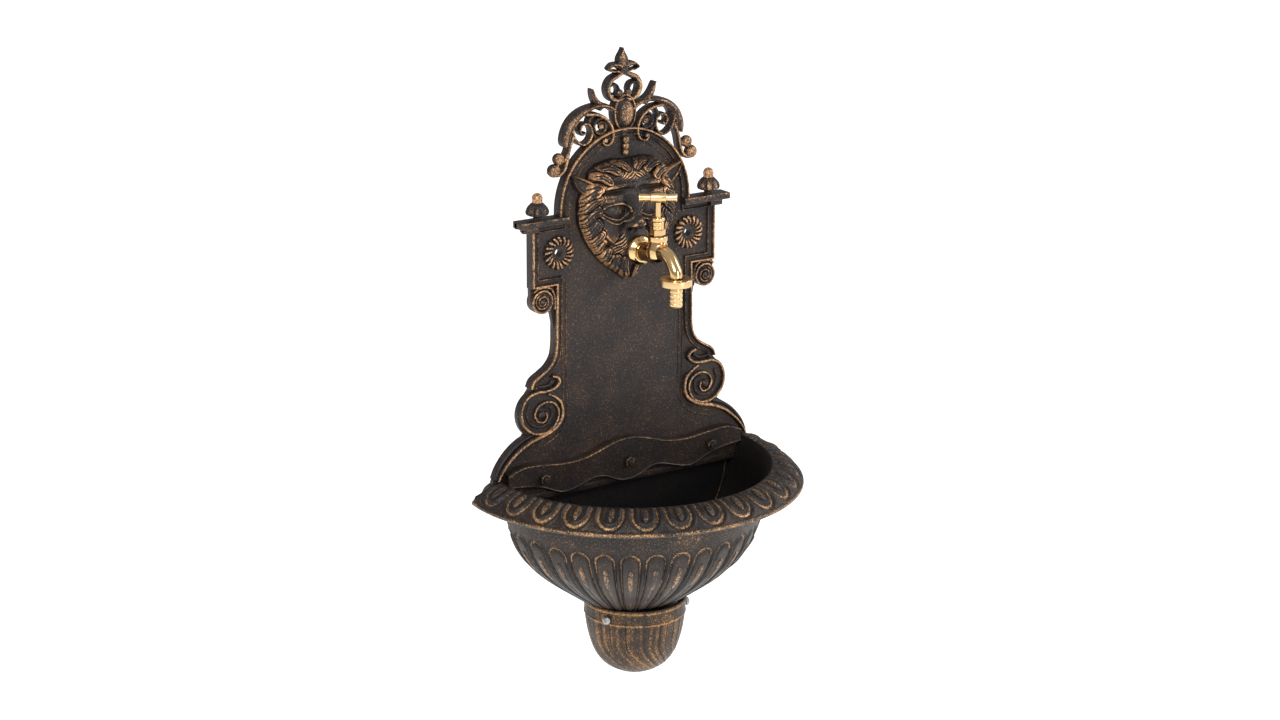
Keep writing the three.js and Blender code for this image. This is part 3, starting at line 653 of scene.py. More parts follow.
def face(x, z):
    ax = np.abs(x)
    t = np.clip(np.hypot(ax, z - MASK_Z) / mask_edge(np.arctan2(z - MASK_Z, ax)), 0, 1)
    dome = 5.5 + 14.5 * np.sqrt(np.clip(1 - t ** 2.4, 0, 1))
    ring = np.sqrt((ax / 40.5) ** 2 + ((z - 143) / np.where(z > 143, 44, 34)) ** 2)
    h = dome - 2.6 * step(ring, 0.98, 1.06)
    for k, points in enumerate(MANE):
        h = lock(h, ax, z, points, 5.4 if k < 3 else 6.6, dome - 2.4, lift=4.2, hairs=3 if k < 3 else 4)
    # forelock: a short combed fringe under a smooth dark cap
    h = h + blob(ax, z, 0, 185, 17, 7.5, 5.0, power=4)
    fringe = np.sin(1.9 * (ax * 0.75 + (z - 185) * 0.9) + 0.9 * np.sin(0.6 * ax))
    h = h + 0.7 * fringe * np.exp(-((z - 184) / 6.5) ** 2) * np.exp(-(ax / 17) ** 4)
    for points, width in TUFTS:
        h = lock(h, ax, z, points, width, dome - 0.5, lift=4.4, hairs=3)
    face_in = 1 - step(ring, 0.9, 1.0)
    # forehead and brow
    h = h + face_in * blob(ax, z, 0, 170, 8, 9, 3.0)
    across, along = stroke(ax, z, [(1.5, 174.5), (9, 174.5), (20, 174), (32, 173.5), (38, 170.5),
                                   (41.5, 165.5)])
    h = h + 4.6 * np.exp(-(np.abs(across) / 3.2) ** 2.4) * (0.75 + 0.4 * along)
    h = h - blob(ax, z, 22, 168.3, 19, 2.3, 3.4, tilt=-3)
    # upper lid, socket, eyeball
    h = h + blob(ax, z, 27.5, 161.5, 14, 5.4, 4.4, tilt=10, power=3.4)
    h = h - blob(ax, z, 20.5, 147.8, 17, 7.6, 5.2, tilt=8, power=4)
    h = h + blob(ax, z, 19.5, 147.8, 8.8, 6.4, 6.0, power=3)
    for points, lift, wide in (([(39.5, 148.5), (29, 154.6), (17, 156), (8.5, 152.5), (5.5, 147)], 3.2, 1.35),
                               ([(36, 146.6), (28, 142), (18, 139.8), (9, 143.5), (6.5, 147.5)], 2.6, 1.15),
                               ([(39.5, 146), (29.5, 138.6), (18, 135.8), (6.5, 140.5), (3.6, 146)], 2.2,
                                1.2)):
        across, along = stroke(ax, z, points)
        h = h + lift * np.exp(-(across / wide) ** 2)
    # cheek: a smooth egg hanging from the lower lid
    h = h + blob(ax, z, 30.5, 128, 11.5, 12.5, 6.0, tilt=-14, power=4)
    across, along = stroke(ax, z, [(13.5, 135), (17, 124), (23, 114.5), (31, 110)])
    h = h - 3.4 * np.exp(-(across / 2.0) ** 2)
    # nose: bridge, tip, wings, nostrils
    h = h + blob(ax, z, 0, 153, 6.6, 17, 8.0, power=3) + blob(ax, z, 0, 135.5, 8.5, 6.5, 10.5, power=3)
    h = h + blob(ax, z, 8, 133.5, 4.4, 3.8, 4.6, power=2.6) - blob(ax, z, 5.4, 129.6, 2.6, 1.8, 5)
    # muzzle, its short hair, and the beard
    h = h + blob(ax, z, 0, 111, 22, 16, 6.5, power=3.4)
    comb = np.sin(1.75 * (z - 0.8 * (24 - ax)) + 0.8 * np.sin(0.5 * ax))
    h = h + 0.95 * comb * np.exp(-((ax - 17) / 7.5) ** 2) * np.exp(-((z - 112) / 13) ** 2)
    for points, width in (([(17.5, 99.5), (18.5, 91), (13, 81)], 5.0),
                          ([(9, 97), (9.5, 87), (3.5, 75.5)], 5.2)):
        h = lock(h, ax, z, points, width, dome - 1.2, lift=4.4, hairs=3)
    edge = np.clip((1 - t) / 0.07, 0, 1)
    h = h * np.sqrt(np.clip(1 - (1 - edge) ** 2, 0, 1))
    mouth = np.hypot(x, z - 108)
    return h - np.clip(h - 24.5, 0, 60) * (1 - step(mouth, 15.5, 19))


def mask(heap, rings=150, seg=520):
    angle = np.linspace(0, 2 * np.pi, seg, endpoint=False)
    s = np.sin(np.linspace(0.004, 1, rings) * np.pi / 2) ** 0.9
    edge = mask_edge(angle)
    x, z = s[:, None] * (edge * np.cos(angle)), MASK_Z + s[:, None] * (edge * np.sin(angle))
    h = face(x, z)
    bend = sum(wide * (4 * h - face(x + e, z) - face(x - e, z) - face(x, z + e) - face(x, z - e)) for e,
               wide in ((0.9, 0.6), (2.4, 0.13)))
    # outward bends take gold; inward bends go below zero, painted shade in the hollows
    gilt = np.clip(-0.14 + 0.66 * bend, -0.4, 0.95)
    gilt = gilt + blob(np.abs(x), z, 30, 170.5, 15, 4.2, 0.75) + blob(np.abs(x), z, 30, 123, 11, 10,
            0.62) + blob(np.abs(x), z, 29, 160, 12, 4.5, 0.55)
    gilt = gilt + blob(np.abs(x), z, 8, 183, 12, 5, 0.45) + blob(x, z, 0, 136, 6, 4, 0.4) + blob(np.abs(x), z,
            19.5, 147.8, 6, 4, 0.5)
    gilt = gilt - 0.28 * step(z, 184, 194)
    gilt[-3:] = 0
    pts = np.stack([x, FIELD - h, z], -1)
    pts[-1, :, 1] = FIELD + 1
    heap.grid(pts, gilt)
    print("mask rises", round(float(h.max()), 1), "mm over the field")


# %% [markdown]
# ### Ears
# Each ear is a pointed cup with a thick gilded rim, standing off to the side of the mane. It is a
# strip between an upper and a lower curve, raised along both.

# %% Ears and mask
def ears(heap, rows=40, cols=34):
    upper = through([(38, 175.5), (45, 180), (53, 183.5), (60, 186), (65, 187.5)], rows)
    lower = through([(47, 163.5), (54, 167), (60, 173), (64, 180.5), (65.4, 187)], rows)
    s, v = np.linspace(0, 1, rows), np.linspace(-1, 1, cols)
    p = lower[:, None] * (1 - v[None, :, None]) / 2 + upper[:, None] * (1 + v[None, :, None]) / 2
    av = np.abs(v)
    rim = np.exp(-((av - 0.8) / np.where(v > 0, 0.17, 0.12)) ** 2) * np.where(v > 0, 1, 0.7)
    h = 6.5 + 4.6 * rim[None, :] + (3.5 * (1 - s) - 3.0 * np.sin(np.pi * np.clip(s * 1.15, 0, 1)))[:,
            None] * (1 - av ** 3)[None, :]
    h = h * np.sqrt(np.clip((1 - av) / 0.1, 0, 1))[None, :] * np.clip((1 - s[:, None]) / 0.06, 0.1, 1) ** 0.5
    gilt = (1.5 * rim - 0.05)[None, :] * np.ones((rows, 1))
    front = np.stack([p[..., 0], FIELD - h, p[..., 1]], -1)
    base = np.stack([p[..., 0], np.full(p.shape[:2], FIELD + 2.0), p[..., 1]], -1)
    heap.grid(np.concatenate([front, base[:, ::-1]], 1), np.concatenate([gilt, gilt * 0], 1), both=True)


lion = Heap()
mask(lion)
ears(lion)
lion.build("lion_mask", IRON, ["plaque"], "fountain")

# %% [markdown]
# ## The plaque
# A plain cast field, 8 mm thick with its back edge drawn in, so that it lies neatly on a wall. It
# has holes for the two wall screws, the three bolts of the basin and the pipe of the tap.

# %% Field of the plaque
ARCH_Z = 150.0
EDGE_R, BORDER_R, DOTS_R = 78.8, 74.5, 64.8
VOLUTE_X, VOLUTE_Z = 101.5, -54
ROLL_X, ROLL_Z = 99, 62.5
BOLT_X, BOLT_Z, PIPE_Z = 103, -120.5, 108
SWEEP_UP = [(83.5, 30), (84, 16), (86, 4), (92, -5), (100, -12), (108.5, -17), (112.5, -22), (113, -28)]
SWEEP_DOWN = [(118, -74), (127, -80), (136.5, -86.5), (144.5, -94.5), (151.5, -104), (157, -117.5)]


def half_outline():
    p = [(0, -132), (128, -132), (128, -121.5), (157, -121.5), (157, -117.5)]
    p += [tuple(q) for q in through(SWEEP_DOWN, 24)[:-1][::-1]]
    p += [(VOLUTE_X + 26.3 * math.cos(a), VOLUTE_Z + 26.3 * math.sin(a))
          for a in np.radians(np.linspace(-50, 54, 26))]
    p += [tuple(q) for q in through(SWEEP_UP, 34)[::-1]] + [(86, 44)]
    p += [(ROLL_X + 12.3 * math.cos(a), ROLL_Z + 12.3 * math.sin(a))
          for a in np.radians(np.linspace(-150, 2, 22))]
    p += [(111, 69), (111, 134), (118.5, 134), (118.5, 140), (126.5, 140), (126.5, 146.6), (EDGE_R, 146.6)]
    return p + [(EDGE_R * math.cos(a), ARCH_Z + EDGE_R * math.sin(a))
                for a in np.radians(np.linspace(0, 90, 46))]


def field_plate(heap):
    half = half_outline()
    line = np.array(half + [(-x, z) for x, z in half[1:-1][::-1]])
    before, after = line - np.roll(line, 1, 0), np.roll(line, -1, 0) - line
    way = before / np.maximum(np.linalg.norm(before, axis=1), 1e-6)[:,
            None] + after / np.maximum(np.linalg.norm(after, axis=1), 1e-6)[:, None]
    way /= np.maximum(np.linalg.norm(way, axis=1), 1e-6)[:, None]
    inner = line + 1.6 * np.stack([-way[:, 1], way[:, 0]], 1)
    n = len(line)
    layers = [(0.0, inner), (-4.0, line), (FIELD, line)]
    pts = np.array([(x, y, z) for y, ring in layers for x, z in ring])
    number = np.arange(n)
    nxt = np.roll(number, -1)
    sides = [np.stack([number + k, nxt + k, nxt + k + n, number + k + n], 1) for k in (0, n)]
    heap.add(pts, 0, [*sides, number[::-1], number + 2 * n])


def cut_holes(plate):
    """Cuts the fixing holes and the bolt holes through the finished plate."""
    cutters = []
    for x, z, r in ((-78.5, 110, 11.5), (78.5, 110, 11.5), (-BOLT_X, BOLT_Z, 4.6), (0, BOLT_Z, 4.6),
                    (BOLT_X, BOLT_Z, 4.6), (0, PIPE_Z, 10.2)):
        bpy.ops.mesh.primitive_cylinder_add(vertices=48, radius=r * MM, depth=0.06,
                                            location=(x * MM, 0, z * MM), rotation=(math.pi / 2, 0, 0))
        mod = plate.modifiers.new("hole", "BOOLEAN")
        mod.operation, mod.object, mod.solver = "DIFFERENCE", bpy.context.object, "EXACT"
        cutters.append(mod.object)
    bpy.context.view_layer.update()
    done = bpy.data.meshes.new_from_object(plate.evaluated_get(bpy.context.evaluated_depsgraph_get()))
    plate.modifiers.clear()
    plate.data = done
    for tool in cutters:
        bpy.data.objects.remove(tool)
    print("holes cut:", len(cutters))


plate = Heap()
field_plate(plate)
bare = plate.loose("plaque_field", IRON)
cut_holes(bare)
dress(bare, ["plaque"], "fountain")

# %% [markdown]
# ### Borders and ledges
# One moulding runs all the way round: a bold gilded outer ridge, a dark cove and a thin gilded
# inner line. It goes over the arch, out under the ledges, round the ears, in to the waist and out
# again over the large scrolls, so it is a single sweep with mitred corners.

# %% Borders and ledges
def frame_path():
    arch = [(BORDER_R * math.sin(a), ARCH_Z + BORDER_R * math.cos(a))
            for a in np.linspace(0, math.pi / 2, 70)]
    low = through([(79, 44), (79.3, 30), (79.6, 15), (82, 1.5), (89.5, -9), (99, -15.5), (107, -20.5),
                   (110, -27)], 60)
    right = arch + [(BORDER_R, 137.3), (106.7, 137.3), (106.7, 81.2), (78.6, 81.2)] + [tuple(q) for q in low]
    return [(-x, z) for x, z in right[1:][::-1]] + right


carved = Heap()
sweep(carved, frame_path(), 8.8, -1, -13.2, BORDER, both=False)
for z0, z1, x1, y1 in ((140.2, 147, 126.5, 17), (134.6, 140.2, 118.5, 14.5)):
    for sx in (-1, 1):
        box_shell(carved, sx * (70 if z1 > 141 else 104), sx * x1, -0.3, -y1, z0, z1, gold=0.9)
# small roll that carries the ear, with its own coil
lathe(carved, rounded([(0, 0.4), (12.2, 0.4), (12.3, 10.5, .15), (12.2, 12.4, .85), (11, 13, .9),
                       (9.8, 12.2, .2), (8.6, 10.6, -.1), (0, 10, 0)], 0.5), seg=56,
      at=(ROLL_X, ROLL_Z), gold=0.1, along="y", both=True)
sweep(carved, spiral(ROLL_X, ROLL_Z, 8.4, 3.0, 1.2, -1.7, 80), 2.5, -8, lambda s: -12.6 - 0.8 * s, gold=0.75)
ball(carved, ROLL_X, -10.5, ROLL_Z, 3.2, gold=0.5)
sweep(carved, through([(109.5, 73.5), (104, 76.8), (94, 77), (87.5, 73), (84.8, 64), (84.5, 53)], 40), 3.4,
      -2, -12.8, gold=0.8)
print("border laid in one run of", len(frame_path()), "points")

# %% [markdown]
# ### Large scrolls
# Beside the basin the plaque ends in two volutes. A narrow gilded ridge starts as a small C, runs
# round the outside and winds into the eye over a dark hollow, while the lower sweep carries on
# into the corner. Lathed discs form the hollow, and the ridge is swept over them.

# %% Large scrolls
VOLUTE = [(88, -16.2), (81.5, -18.6), (79.6, -24), (85.5, -29.2), (95.5, -31), (107, -30.8), (117, -34.5),
          (122.8, -42), (124.8, -52.6), (121.5, -63.5),
          (113, -71.8), (101.5, -75), (89.5, -72), (81.8, -63), (80.6, -53), (86.5, -44.8), (95.7, -42.2),
          (104.6, -45.6), (108.8, -53.4), (105.6, -61), (98.6, -63),
          (94.4, -58.5), (95.5, -53)]
coil = through(VOLUTE, 260)
sweep(carved, coil, lambda s: 4.4 - 1.7 * s, -4, lambda s: -13.4 + 0.9 * s, gold=1.0)
hollow = through([(113.5, -42), (116.8, -53.5), (112.5, -63.5), (102.5, -67.8), (92.4, -65.2), (87.8, -57.3),
                  (90, -49.6), (97, -47)], 130)
sweep(carved, hollow, lambda s: 4.6 - 1.8 * s, -4, -11.2, gold=0.12)
lathe(carved, rounded([(0, 2), (26.0, 2), (26.2, 8.4), (24.5, 9.2), (0, 9.2)], 0.8), seg=72,
      at=(VOLUTE_X, VOLUTE_Z), gold=-0.05, along="y", both=True)
lathe(carved, rounded([(0, 2), (4.6, 2), (4.4, 11.5), (3.0, 13.6), (0, 14)], 1.4), seg=36, at=(100.6, -55.2),
      gold=0.45, along="y", both=True)
sweep(carved, through([(92.5, -34.5), (84.5, -38.8), (77.5, -45.5), (75.2, -56), (77.5, -64.5), (84.5, -71.5),
                       (96, -77), (110, -80.5), (124, -86.5), (134, -93.5),
                       (143, -102), (149.5, -110.5), (152.5, -116)], 110),
                       lambda s: 3.2 + 2.4 * math.sin(math.pi * min(1, s * 1.05)), -4,
      lambda s: -11.6 - 1.6 * min(1, 3 * s), gold=1.0)
sweep(carved, through([(112, -76), (124, -80.5), (134.5, -87.3), (143, -95.5), (150, -105), (154.5, -115)],
                      50), 4.2, -1, -10.2, gold=0.1)
# spur leaf between the upper sweep and the volute
sweep(carved, through([(86, -22), (92, -25.5), (99, -26), (106, -24.5)], 24), lambda s: 4.4 - 2.0 * s, -6,
      -11.4, LEAF, gold=0.15)
print("volute ridge of", len(coil), "points")

# %% [markdown]
# ### Buds on the ledges
# Two small gilded buds stand on the ledges: a foot, a swelling with nine lobes, and a tip. They
# are turned shapes whose radius dips between the lobes. A real one is flat where it meets the
# wall, so afterwards no point of the carving may lie behind the wall plane.

# %% Buds
def bud(heap, cx):
    ring = rounded([(0, 144), (6.5, 144), (6.6, 147), (4.4, 148.6), (4.2, 150), (6, 151.2), (11, 152.4),
                    (12.2, 155.4), (10.8, 159.4),
                    (7.2, 163.4), (5, 164.8), (5.2, 167), (5.6, 169.4), (4.2, 172.7), (1.6, 174.2),
                    (0, 174.4)], 1.2)

    def ribs(r, z, t, g):
        amount = np.exp(-((z - 157) / 5.5) ** 2)
        rib = np.abs(np.cos(4.5 * t))
        return r * (1 - 0.15 * amount * (1 - rib) ** 2), g * 0 + 0.4 + amount * (0.75 * rib
                - 0.35) + 0.5 * (z > 165)

    lathe(heap, ring, seg=72, at=(cx, -9.5), lobes=ribs)


for side in (-103.5, 103.5):
    bud(carved, side)
bud_top = carved.points[-1][:, 2].max()
for points in carved.points:
    points[:, 1] = np.minimum(points[:, 1], 0)
print("buds reach", round(float(bud_top), 1), "mm, and nothing stands behind the wall plane")

# %% [markdown]
# ## The cresting
# Over the arch stands a pierced crest of leaves and C-scrolls. Each scroll is a sweep with its own
# width along its length; the leaves use a broader cross-section with a raised rim.

# %% Cresting
BACK = -0.6


def tapered(wide, narrow):
    return lambda s: wide + (narrow - wide) * s


def crest_scrolls(heap):
    leaf = lambda s: (4.8 + 5.4 * float(step(s, 0.3, 0.72))) * math.sqrt(max(0.03,
            1 - max(0, (s - 0.9) / 0.1) ** 2))
    sweep(heap, through([(9, 244.5), (19, 251.2), (31, 253.3), (43, 251.3), (54, 246), (62.3, 238),
                         (67.3, 228.5), (69.6, 215.5)], 80), leaf, BACK,
          lambda s: -11.6 - 1.8 * math.sin(math.pi * s), LEAF)
    sweep(heap, through([(25, 251), (31, 256), (35, 262.5), (37.8, 271)], 24),
          lambda s: (9 - 5.4 * s) * math.sqrt(max(0.04, 1 - s ** 6)), BACK, -11, LEAF)
    sweep(heap, through([(46, 246.2), (34, 245), (24, 240.5), (17, 232.5), (14.6, 223), (17.5, 215.2),
                         (24, 213.2), (27.5, 217), (24.5, 219.5)], 90),
          tapered(4.6, 3.0), BACK, lambda s: -11.5 - 2.6 * s)
    sweep(heap, spiral(27.5, 231.5, 8.8, 4.4, 1.9, -1.2, 60), 3.3, BACK, -9.6, gold=0.6)
    sweep(heap, through([(59, 243), (61, 232), (57.2, 221.5), (49, 216), (41, 219.6), (38.4, 228.5),
                         (42.5, 235.8), (49, 236.2), (52.3, 230.5), (49.5, 226.2),
                         (46.4, 228.4)], 100), tapered(4.0, 2.9), BACK, -10.6, gold=0.9)
    sweep(heap, through([(38, 226), (34, 222), (33, 215)], 16), 3.8, BACK, -9.4, gold=0.4)
    sweep(heap, through([(35, 246), (40, 240.5), (42.5, 234)], 16), tapered(5, 3.4), BACK, -9.6, gold=0.4)
    sweep(heap, through([(55, 243), (57.4, 236.5), (55, 231)], 14), tapered(5, 2.2), BACK, -9.4, LEAF,
          gold=0.5)
    sweep(heap, through([(60.5, 226), (65.6, 213), (68, 202), (72, 192.5), (79, 188.6), (86, 192)], 50),
          tapered(4.6, 4.0), BACK, -11.2, gold=0.9)
    sweep(heap, through([(66, 211), (71, 203), (77, 202.5)], 18), tapered(4.6, 3.8), BACK, -11, gold=0.8)


def crown(heap):
    sweep(heap, through([(1, 257), (10, 256.6), (16.8, 260.8), (19.2, 269.2), (15.4, 277), (7.5, 281),
                         (0.5, 284.5)], 60),
          lambda s: 4.6 + 1.2 * math.sin(math.pi * s), BACK, -11.4, gold=0.9)
    sweep(heap, through([(17, 271), (12.5, 273), (8, 271), (6, 266), (8, 261.5), (11, 262.5)], 36),
          tapered(3.6, 2.4), BACK, -10, gold=0.4)
    ball(heap, 5.2, -7.5, 263.3, 4.0, gold=0.7)
    bulb = lambda s: 4.6 + 8.2 * float(step(s, 0.0, 0.45)) - 12.2 * float(step(s, 0.5, 1.03)) ** 1.2
    sweep(heap, through([(0, 282), (0, 290), (0, 299), (0, 308.3)], 36), bulb, BACK, lambda s: -11.5 + 3 * s,
          LEAF, both=False)
    sweep(heap, through([(1, 287.5), (6, 291), (12, 291.8), (16.8, 289.4), (17.9, 287.6)], 26),
          lambda s: 6.4 - 4.6 * s ** 1.6, BACK, -10.5, LEAF)
    sweep(heap, through([(2, 283), (7.5, 285.4), (12.5, 285.6), (17.4, 287.4)], 22), tapered(3.4, 1.6), BACK,
          -10.5, gold=0.9)
    lathe(heap, rounded([(0, 1.5), (4.4, 1.5), (4.6, 9.5), (3.2, 12), (0, 12.8)], 1.4), seg=32, at=(0, 286),
          gold=0.5, along="y")


crest_scrolls(carved)
crown(carved)
for x, z, r in ((26.8, 231.8, 3.4), (77, 204.5, 6.2), (82.5, 193.5, 6.8), (24.6, 218, 2.6)):
    ball(carved, x, -6.8 if r > 3 else -12.5, z, r)
print("cresting: 10 scrolls a side, crown and four knobs")

# %% [markdown]
# ### Oval boss and bead drop
# In the middle sits a gilded oval stone in a bevelled frame, and a short drop of beads hangs from
# it over the arch. The oval is a stack of ellipses; three beads are too few to need a node tree.

# %% Oval boss
OVAL_Z = 243.5
OVAL_TURN = np.linspace(0, 2 * np.pi, 72, endpoint=False)
OVAL = [(13.5, 19.2, 0.6, 0), (13.5, 19.2, 9.5, .1), (12.9, 18.6, 11.4, .7), (11.8, 17.4, 11.8, .8),
        (10.9, 16.4, 10.6, .1), (10.2, 15.6, 9.6, -.2),
        (9.4, 14.6, 10.2, 0), (8.6, 13.6, 12.6, .4), (7.2, 11.6, 15.0, .65), (5.0, 8.4, 16.9, .8),
        (2.4, 4.2, 17.8, .9), (.1, .1, 18.1, .9)]
boss = np.array([[(a * math.cos(q), -y, OVAL_Z + b * math.sin(q)) for q in OVAL_TURN] for a, b, y, g in OVAL])
carved.grid(boss, np.array([r[3] for r in OVAL])[:, None] * np.ones(len(OVAL_TURN)))
print("oval boss of", len(OVAL), "ellipses")
sweep(carved, [(0, 230), (0, 222), (0, 214)], lambda s: 9 - 3.5 * s, -2, -10.5, both=False, gold=0.3)
for z, r in ((216, 4.3), (209.4, 4.0), (203.2, 3.7)):
    ball(carved, 0, -10.8, z, r, both=False)
carved.build("plaque_carving", IRON, ["plaque"], "fountain")

# %% [markdown]
# ### Rosettes
# Round each wall-screw hole lies a wreath of seventeen twisted petals, like rope. The petal is
# modelled once and the node tree turns it about the hole, with a little wobble so that it looks cast.

# %% Rosettes
ROSETTE_X, ROSETTE_Z, PETALS = 78.6, 110, 17
for word, cx in (("left", -ROSETTE_X), ("right", ROSETTE_X)):
    dish = Heap()
    lathe(dish, rounded([(4.2, 0.2), (16.6, 0.2), (16.6, 8.6, .1), (14, 9.4, 0), (9.4, 9.4, -.1),
                         (8.9, 10.6, .45), (8.0, 10.8, .5), (7.2, 9.8, 0), (4.2, 9.2, 0)], 0.4),
          seg=64, at=(cx, ROSETTE_Z), gold=0.05, along="y")
    dish.build(f"rosette_dish_{word}", IRON, ["plaque"], "fountain")
    petal = Heap()
    sweep(petal, through([(8.4, -1.1), (12.6, 0.2), (16.9, 2.6)], 22),
          lambda s: (2.5 + 2.6 * s) * math.sqrt(max(0.05, 1 - (2 * s - 1) ** 6)),
          -7, lambda s: -10.2 - 3.2 * math.sin(math.pi * (0.12 + 0.76 * s)), ROUND, both=False)
    repeated(f"rosette_petals_{word}", petal.loose("petal", IRON), IRON, ["plaque"], "iron_plaque",
             count=PETALS, axis=(0.0, 1.0, 0.0),
             angle_step=2 * math.pi / PETALS, wobble=0.03, centre=(cx * MM, 0.0, 0.11))

# %% [markdown]
# ### Dotted lines on the field
# Two fine rows of dots run down inside the border. A second tree walks along a path and sets a bead
# at even steps, which is how such a line is punched into the pattern of the casting.

# %% Dotted lines
rows_of_dots = []
for sx in (-1, 1):
    for inset in (0, 4.4):
        down = through([(73.6 - inset, 76), (73.6 - inset, 20), (73.2 - inset, -30), (72.6 - inset, -56),
                        (76 - inset, -69), (85 - inset, -78 - inset * .7),
                        (99 - inset, -83.5 - inset), (113 - inset, -87.5 - inset)], 60)
        rows_of_dots.append([(sx * x, FIELD - 0.3, z) for x, z in down])
    inner = through([(DOTS_R * math.sin(a), ARCH_Z + DOTS_R * math.cos(a))
                     for a in np.linspace(0.1, 1.57, 30)] + [(DOTS_R, 120), (DOTS_R, 92)], 60)
    rows_of_dots.append([(sx * x, FIELD - 0.1, z) for x, z in inner])
beaded("dotted_lines", rows_of_dots, IRON, ["plaque"], spacing=1.9, bead=0.8, gold=0.62)

# %% [markdown]
# ## The basin
# The bowl is a turned shape cut by the wall: rows of radius and height are swept round the front
# half, and every row ends exactly at the wall. The long tongues under the rim and the loops on top
# of it are added as a height along the surface, so that they fade into it as in a casting.

# %% Turned and cut by the wall
AXIS_Y = -21.5
EGGS, TONGUES = 30, 32
HEAD_Z, HEAD_R, HEAD_SHARE = -172.5, 134, 0.455
MOUTH_R, LOOP_R, LOOP_HALF, LOOP_BEND = 147.5, 163, 12.4, 14.2
SHADE = -0.36


def wall_cut_grid(rows, cols, relief=None):
    """Rows of (radius, height) swept round the front half, each row ending exactly at the wall."""
    r, z = rows[:, 0][:, None], rows[:, 1][:, None]
    reach = np.arcsin(np.clip(-AXIS_Y / np.maximum(r, 21.51), 0, 1))
    u = np.linspace(0, 1, cols)[None, :]
    t = -reach + u * (np.pi + 2 * reach)
    gold = np.zeros_like(t)
    if relief:
        tang = np.gradient(rows, axis=0)
        tang /= np.maximum(np.linalg.norm(tang, axis=1), 1e-9)[:, None]
        lift, gold = relief(r, z, t)
        r, z = r + tang[:, 1][:, None] * -lift, z + tang[:, 0][:, None] * lift
        reach = np.arcsin(np.clip(-AXIS_Y / np.maximum(r, 21.51), 0, 1))
        t = np.where(u == 0, -reach, np.where(u == 1, np.pi + reach, t))
    x, y = r * np.cos(t), np.minimum(AXIS_Y - r * np.sin(t), 0)
    return np.stack([x, y, z * np.ones_like(t)], -1), gold


def bowl_relief(r, z, t):
    pitch = 2 * np.pi / TONGUES
    a = ((t - np.pi / 2) / pitch + 0.5) % 1 - 0.5
    across, down, k = a * pitch * r, HEAD_Z - z + 0 * t, r / 136
    half = HEAD_SHARE * pitch * r
    head = HEAD_SHARE * pitch * HEAD_R
    side = np.abs(across) - half
    d = np.where(down < head, np.maximum(np.hypot(across, down - head) - head, side), side)
    bold = 1 + 0.7 * (1 - step(down, 2, 26))
    ridge = np.exp(-(np.abs(d + 2.0 * k) / (1.15 * bold * k + 0.15)) ** 3)
    gap = np.exp(-((d - 0.3) / (0.95 * k + 0.2)) ** 2)
    tail = np.exp(-(np.abs(across) / (1.3 * k + 0.2)) ** 2.4) * step(down, 34, 46)
    hollow = step(-d, 3 * k, 6 * k) * step(down, 4, 10)
    fade = step(down, -5, 3) * step(r, 30, 52)
    lift = fade * (1.9 * ridge - 1.3 * gap + 0.9 * tail - 0.7 * hollow)
    # painted shade: the gap round each tongue takes gold below zero, so the groove is painted blacker
    gold = fade * (1.0 * ridge * (0.55 + 0.45 * bold / 1.7) + 0.75 * tail - 0.6 * gap - 0.1) + 0.42 * (1
            - step(down, -5, 3))
    return lift * np.minimum(1, k + 0.25), gold


def rim_relief(r, z, t):
    pitch = 2 * np.pi / EGGS
    a = ((t - np.pi / 2) / pitch + 0.1) % 1 - 0.5
    across, b = a * pitch * LOOP_R, r - MOUTH_R + 0 * t
    d = np.where(b < LOOP_BEND, np.abs(across), np.hypot(across, b - LOOP_BEND)) - LOOP_HALF
    ridge = np.exp(-(np.abs(d) / 2.0) ** 3)
    pit = np.exp(-((d + 4.2) / 1.5) ** 2) + 0.8 * np.exp(-((d - 3.6) / 1.4) ** 2)
    fade = step(b, -1.2, 2.0) * (1 - step(b, 27.2, 29)) * (r > 147)
    # painted shade: the pits beside each loop take gold below zero and are painted darker
    return fade * (1.9 * ridge - 1.1 * pit), fade * (0.9 * ridge - 0.25 * pit - 0.08)


print("tongues every", 360 / TONGUES, "degrees, loops every", 360 / EGGS)

# %% [markdown]
# ### Bowl and rim
# The section runs from the bottom ring up the outside, round the thin lip, over the domed rim and
# down the inside. Only the outside and the rim carry relief.

# %% Bowl and rim
BOWL = through([(26, -276), (38, -272), (48.2, -267.2), (62, -257.5), (75.6, -247.8), (86.5, -239.8),
                (97, -231.3), (106.8, -222.3), (117.9, -210),
                (127.2, -195.5), (133.3, -181), (137.2, -167.3), (140, -152.5)], 86)
UNDER = through([(140.8, -149), (143.6, -145), (150, -142.6), (160, -141.6), (170, -141.2), (175.4, -140.7)],
                8)
LIP = through([(177.3, -139.9), (178.5, -138.7), (178.7, -137.2), (178.2, -135.9), (177, -135.0)], 10)
TOP = through([(175.8, -134.2), (172.6, -130.6), (168, -126.8), (162, -123.0), (156, -120.5), (150.5, -119.2),
               (147.5, -118.9)], 38)
INSIDE = through([(146.2, -119.6), (144.6, -121.6), (139.5, -129), (136.4, -139), (134.5, -150),
                  (131.5, -164.5), (127.5, -178), (121.5, -192), (112, -205.5),
                  (92, -226.5), (72, -242), (45, -261.2), (26, -269.8)], 16)


def basin_shell(heap, cols=600):
    pieces, golds = [], []
    for rows, relief in ((BOWL, bowl_relief), (UNDER, None), (LIP, None), (TOP, rim_relief), (INSIDE, None)):
        p, g = wall_cut_grid(rows, cols, relief)
        if rows is LIP:
            g = g + 0.72 * np.sin(np.linspace(0.3, math.pi - 0.3, len(rows)))[:, None]
        if rows is INSIDE:
            g = g + SHADE
        pieces.append(p)
        golds.append(g)
    shell = np.concatenate(pieces).transpose(1, 0, 2)
    heap.grid(shell, np.concatenate(golds).T)
    return shell.shape


bowl = Heap()
print("bowl grid", basin_shell(bowl))
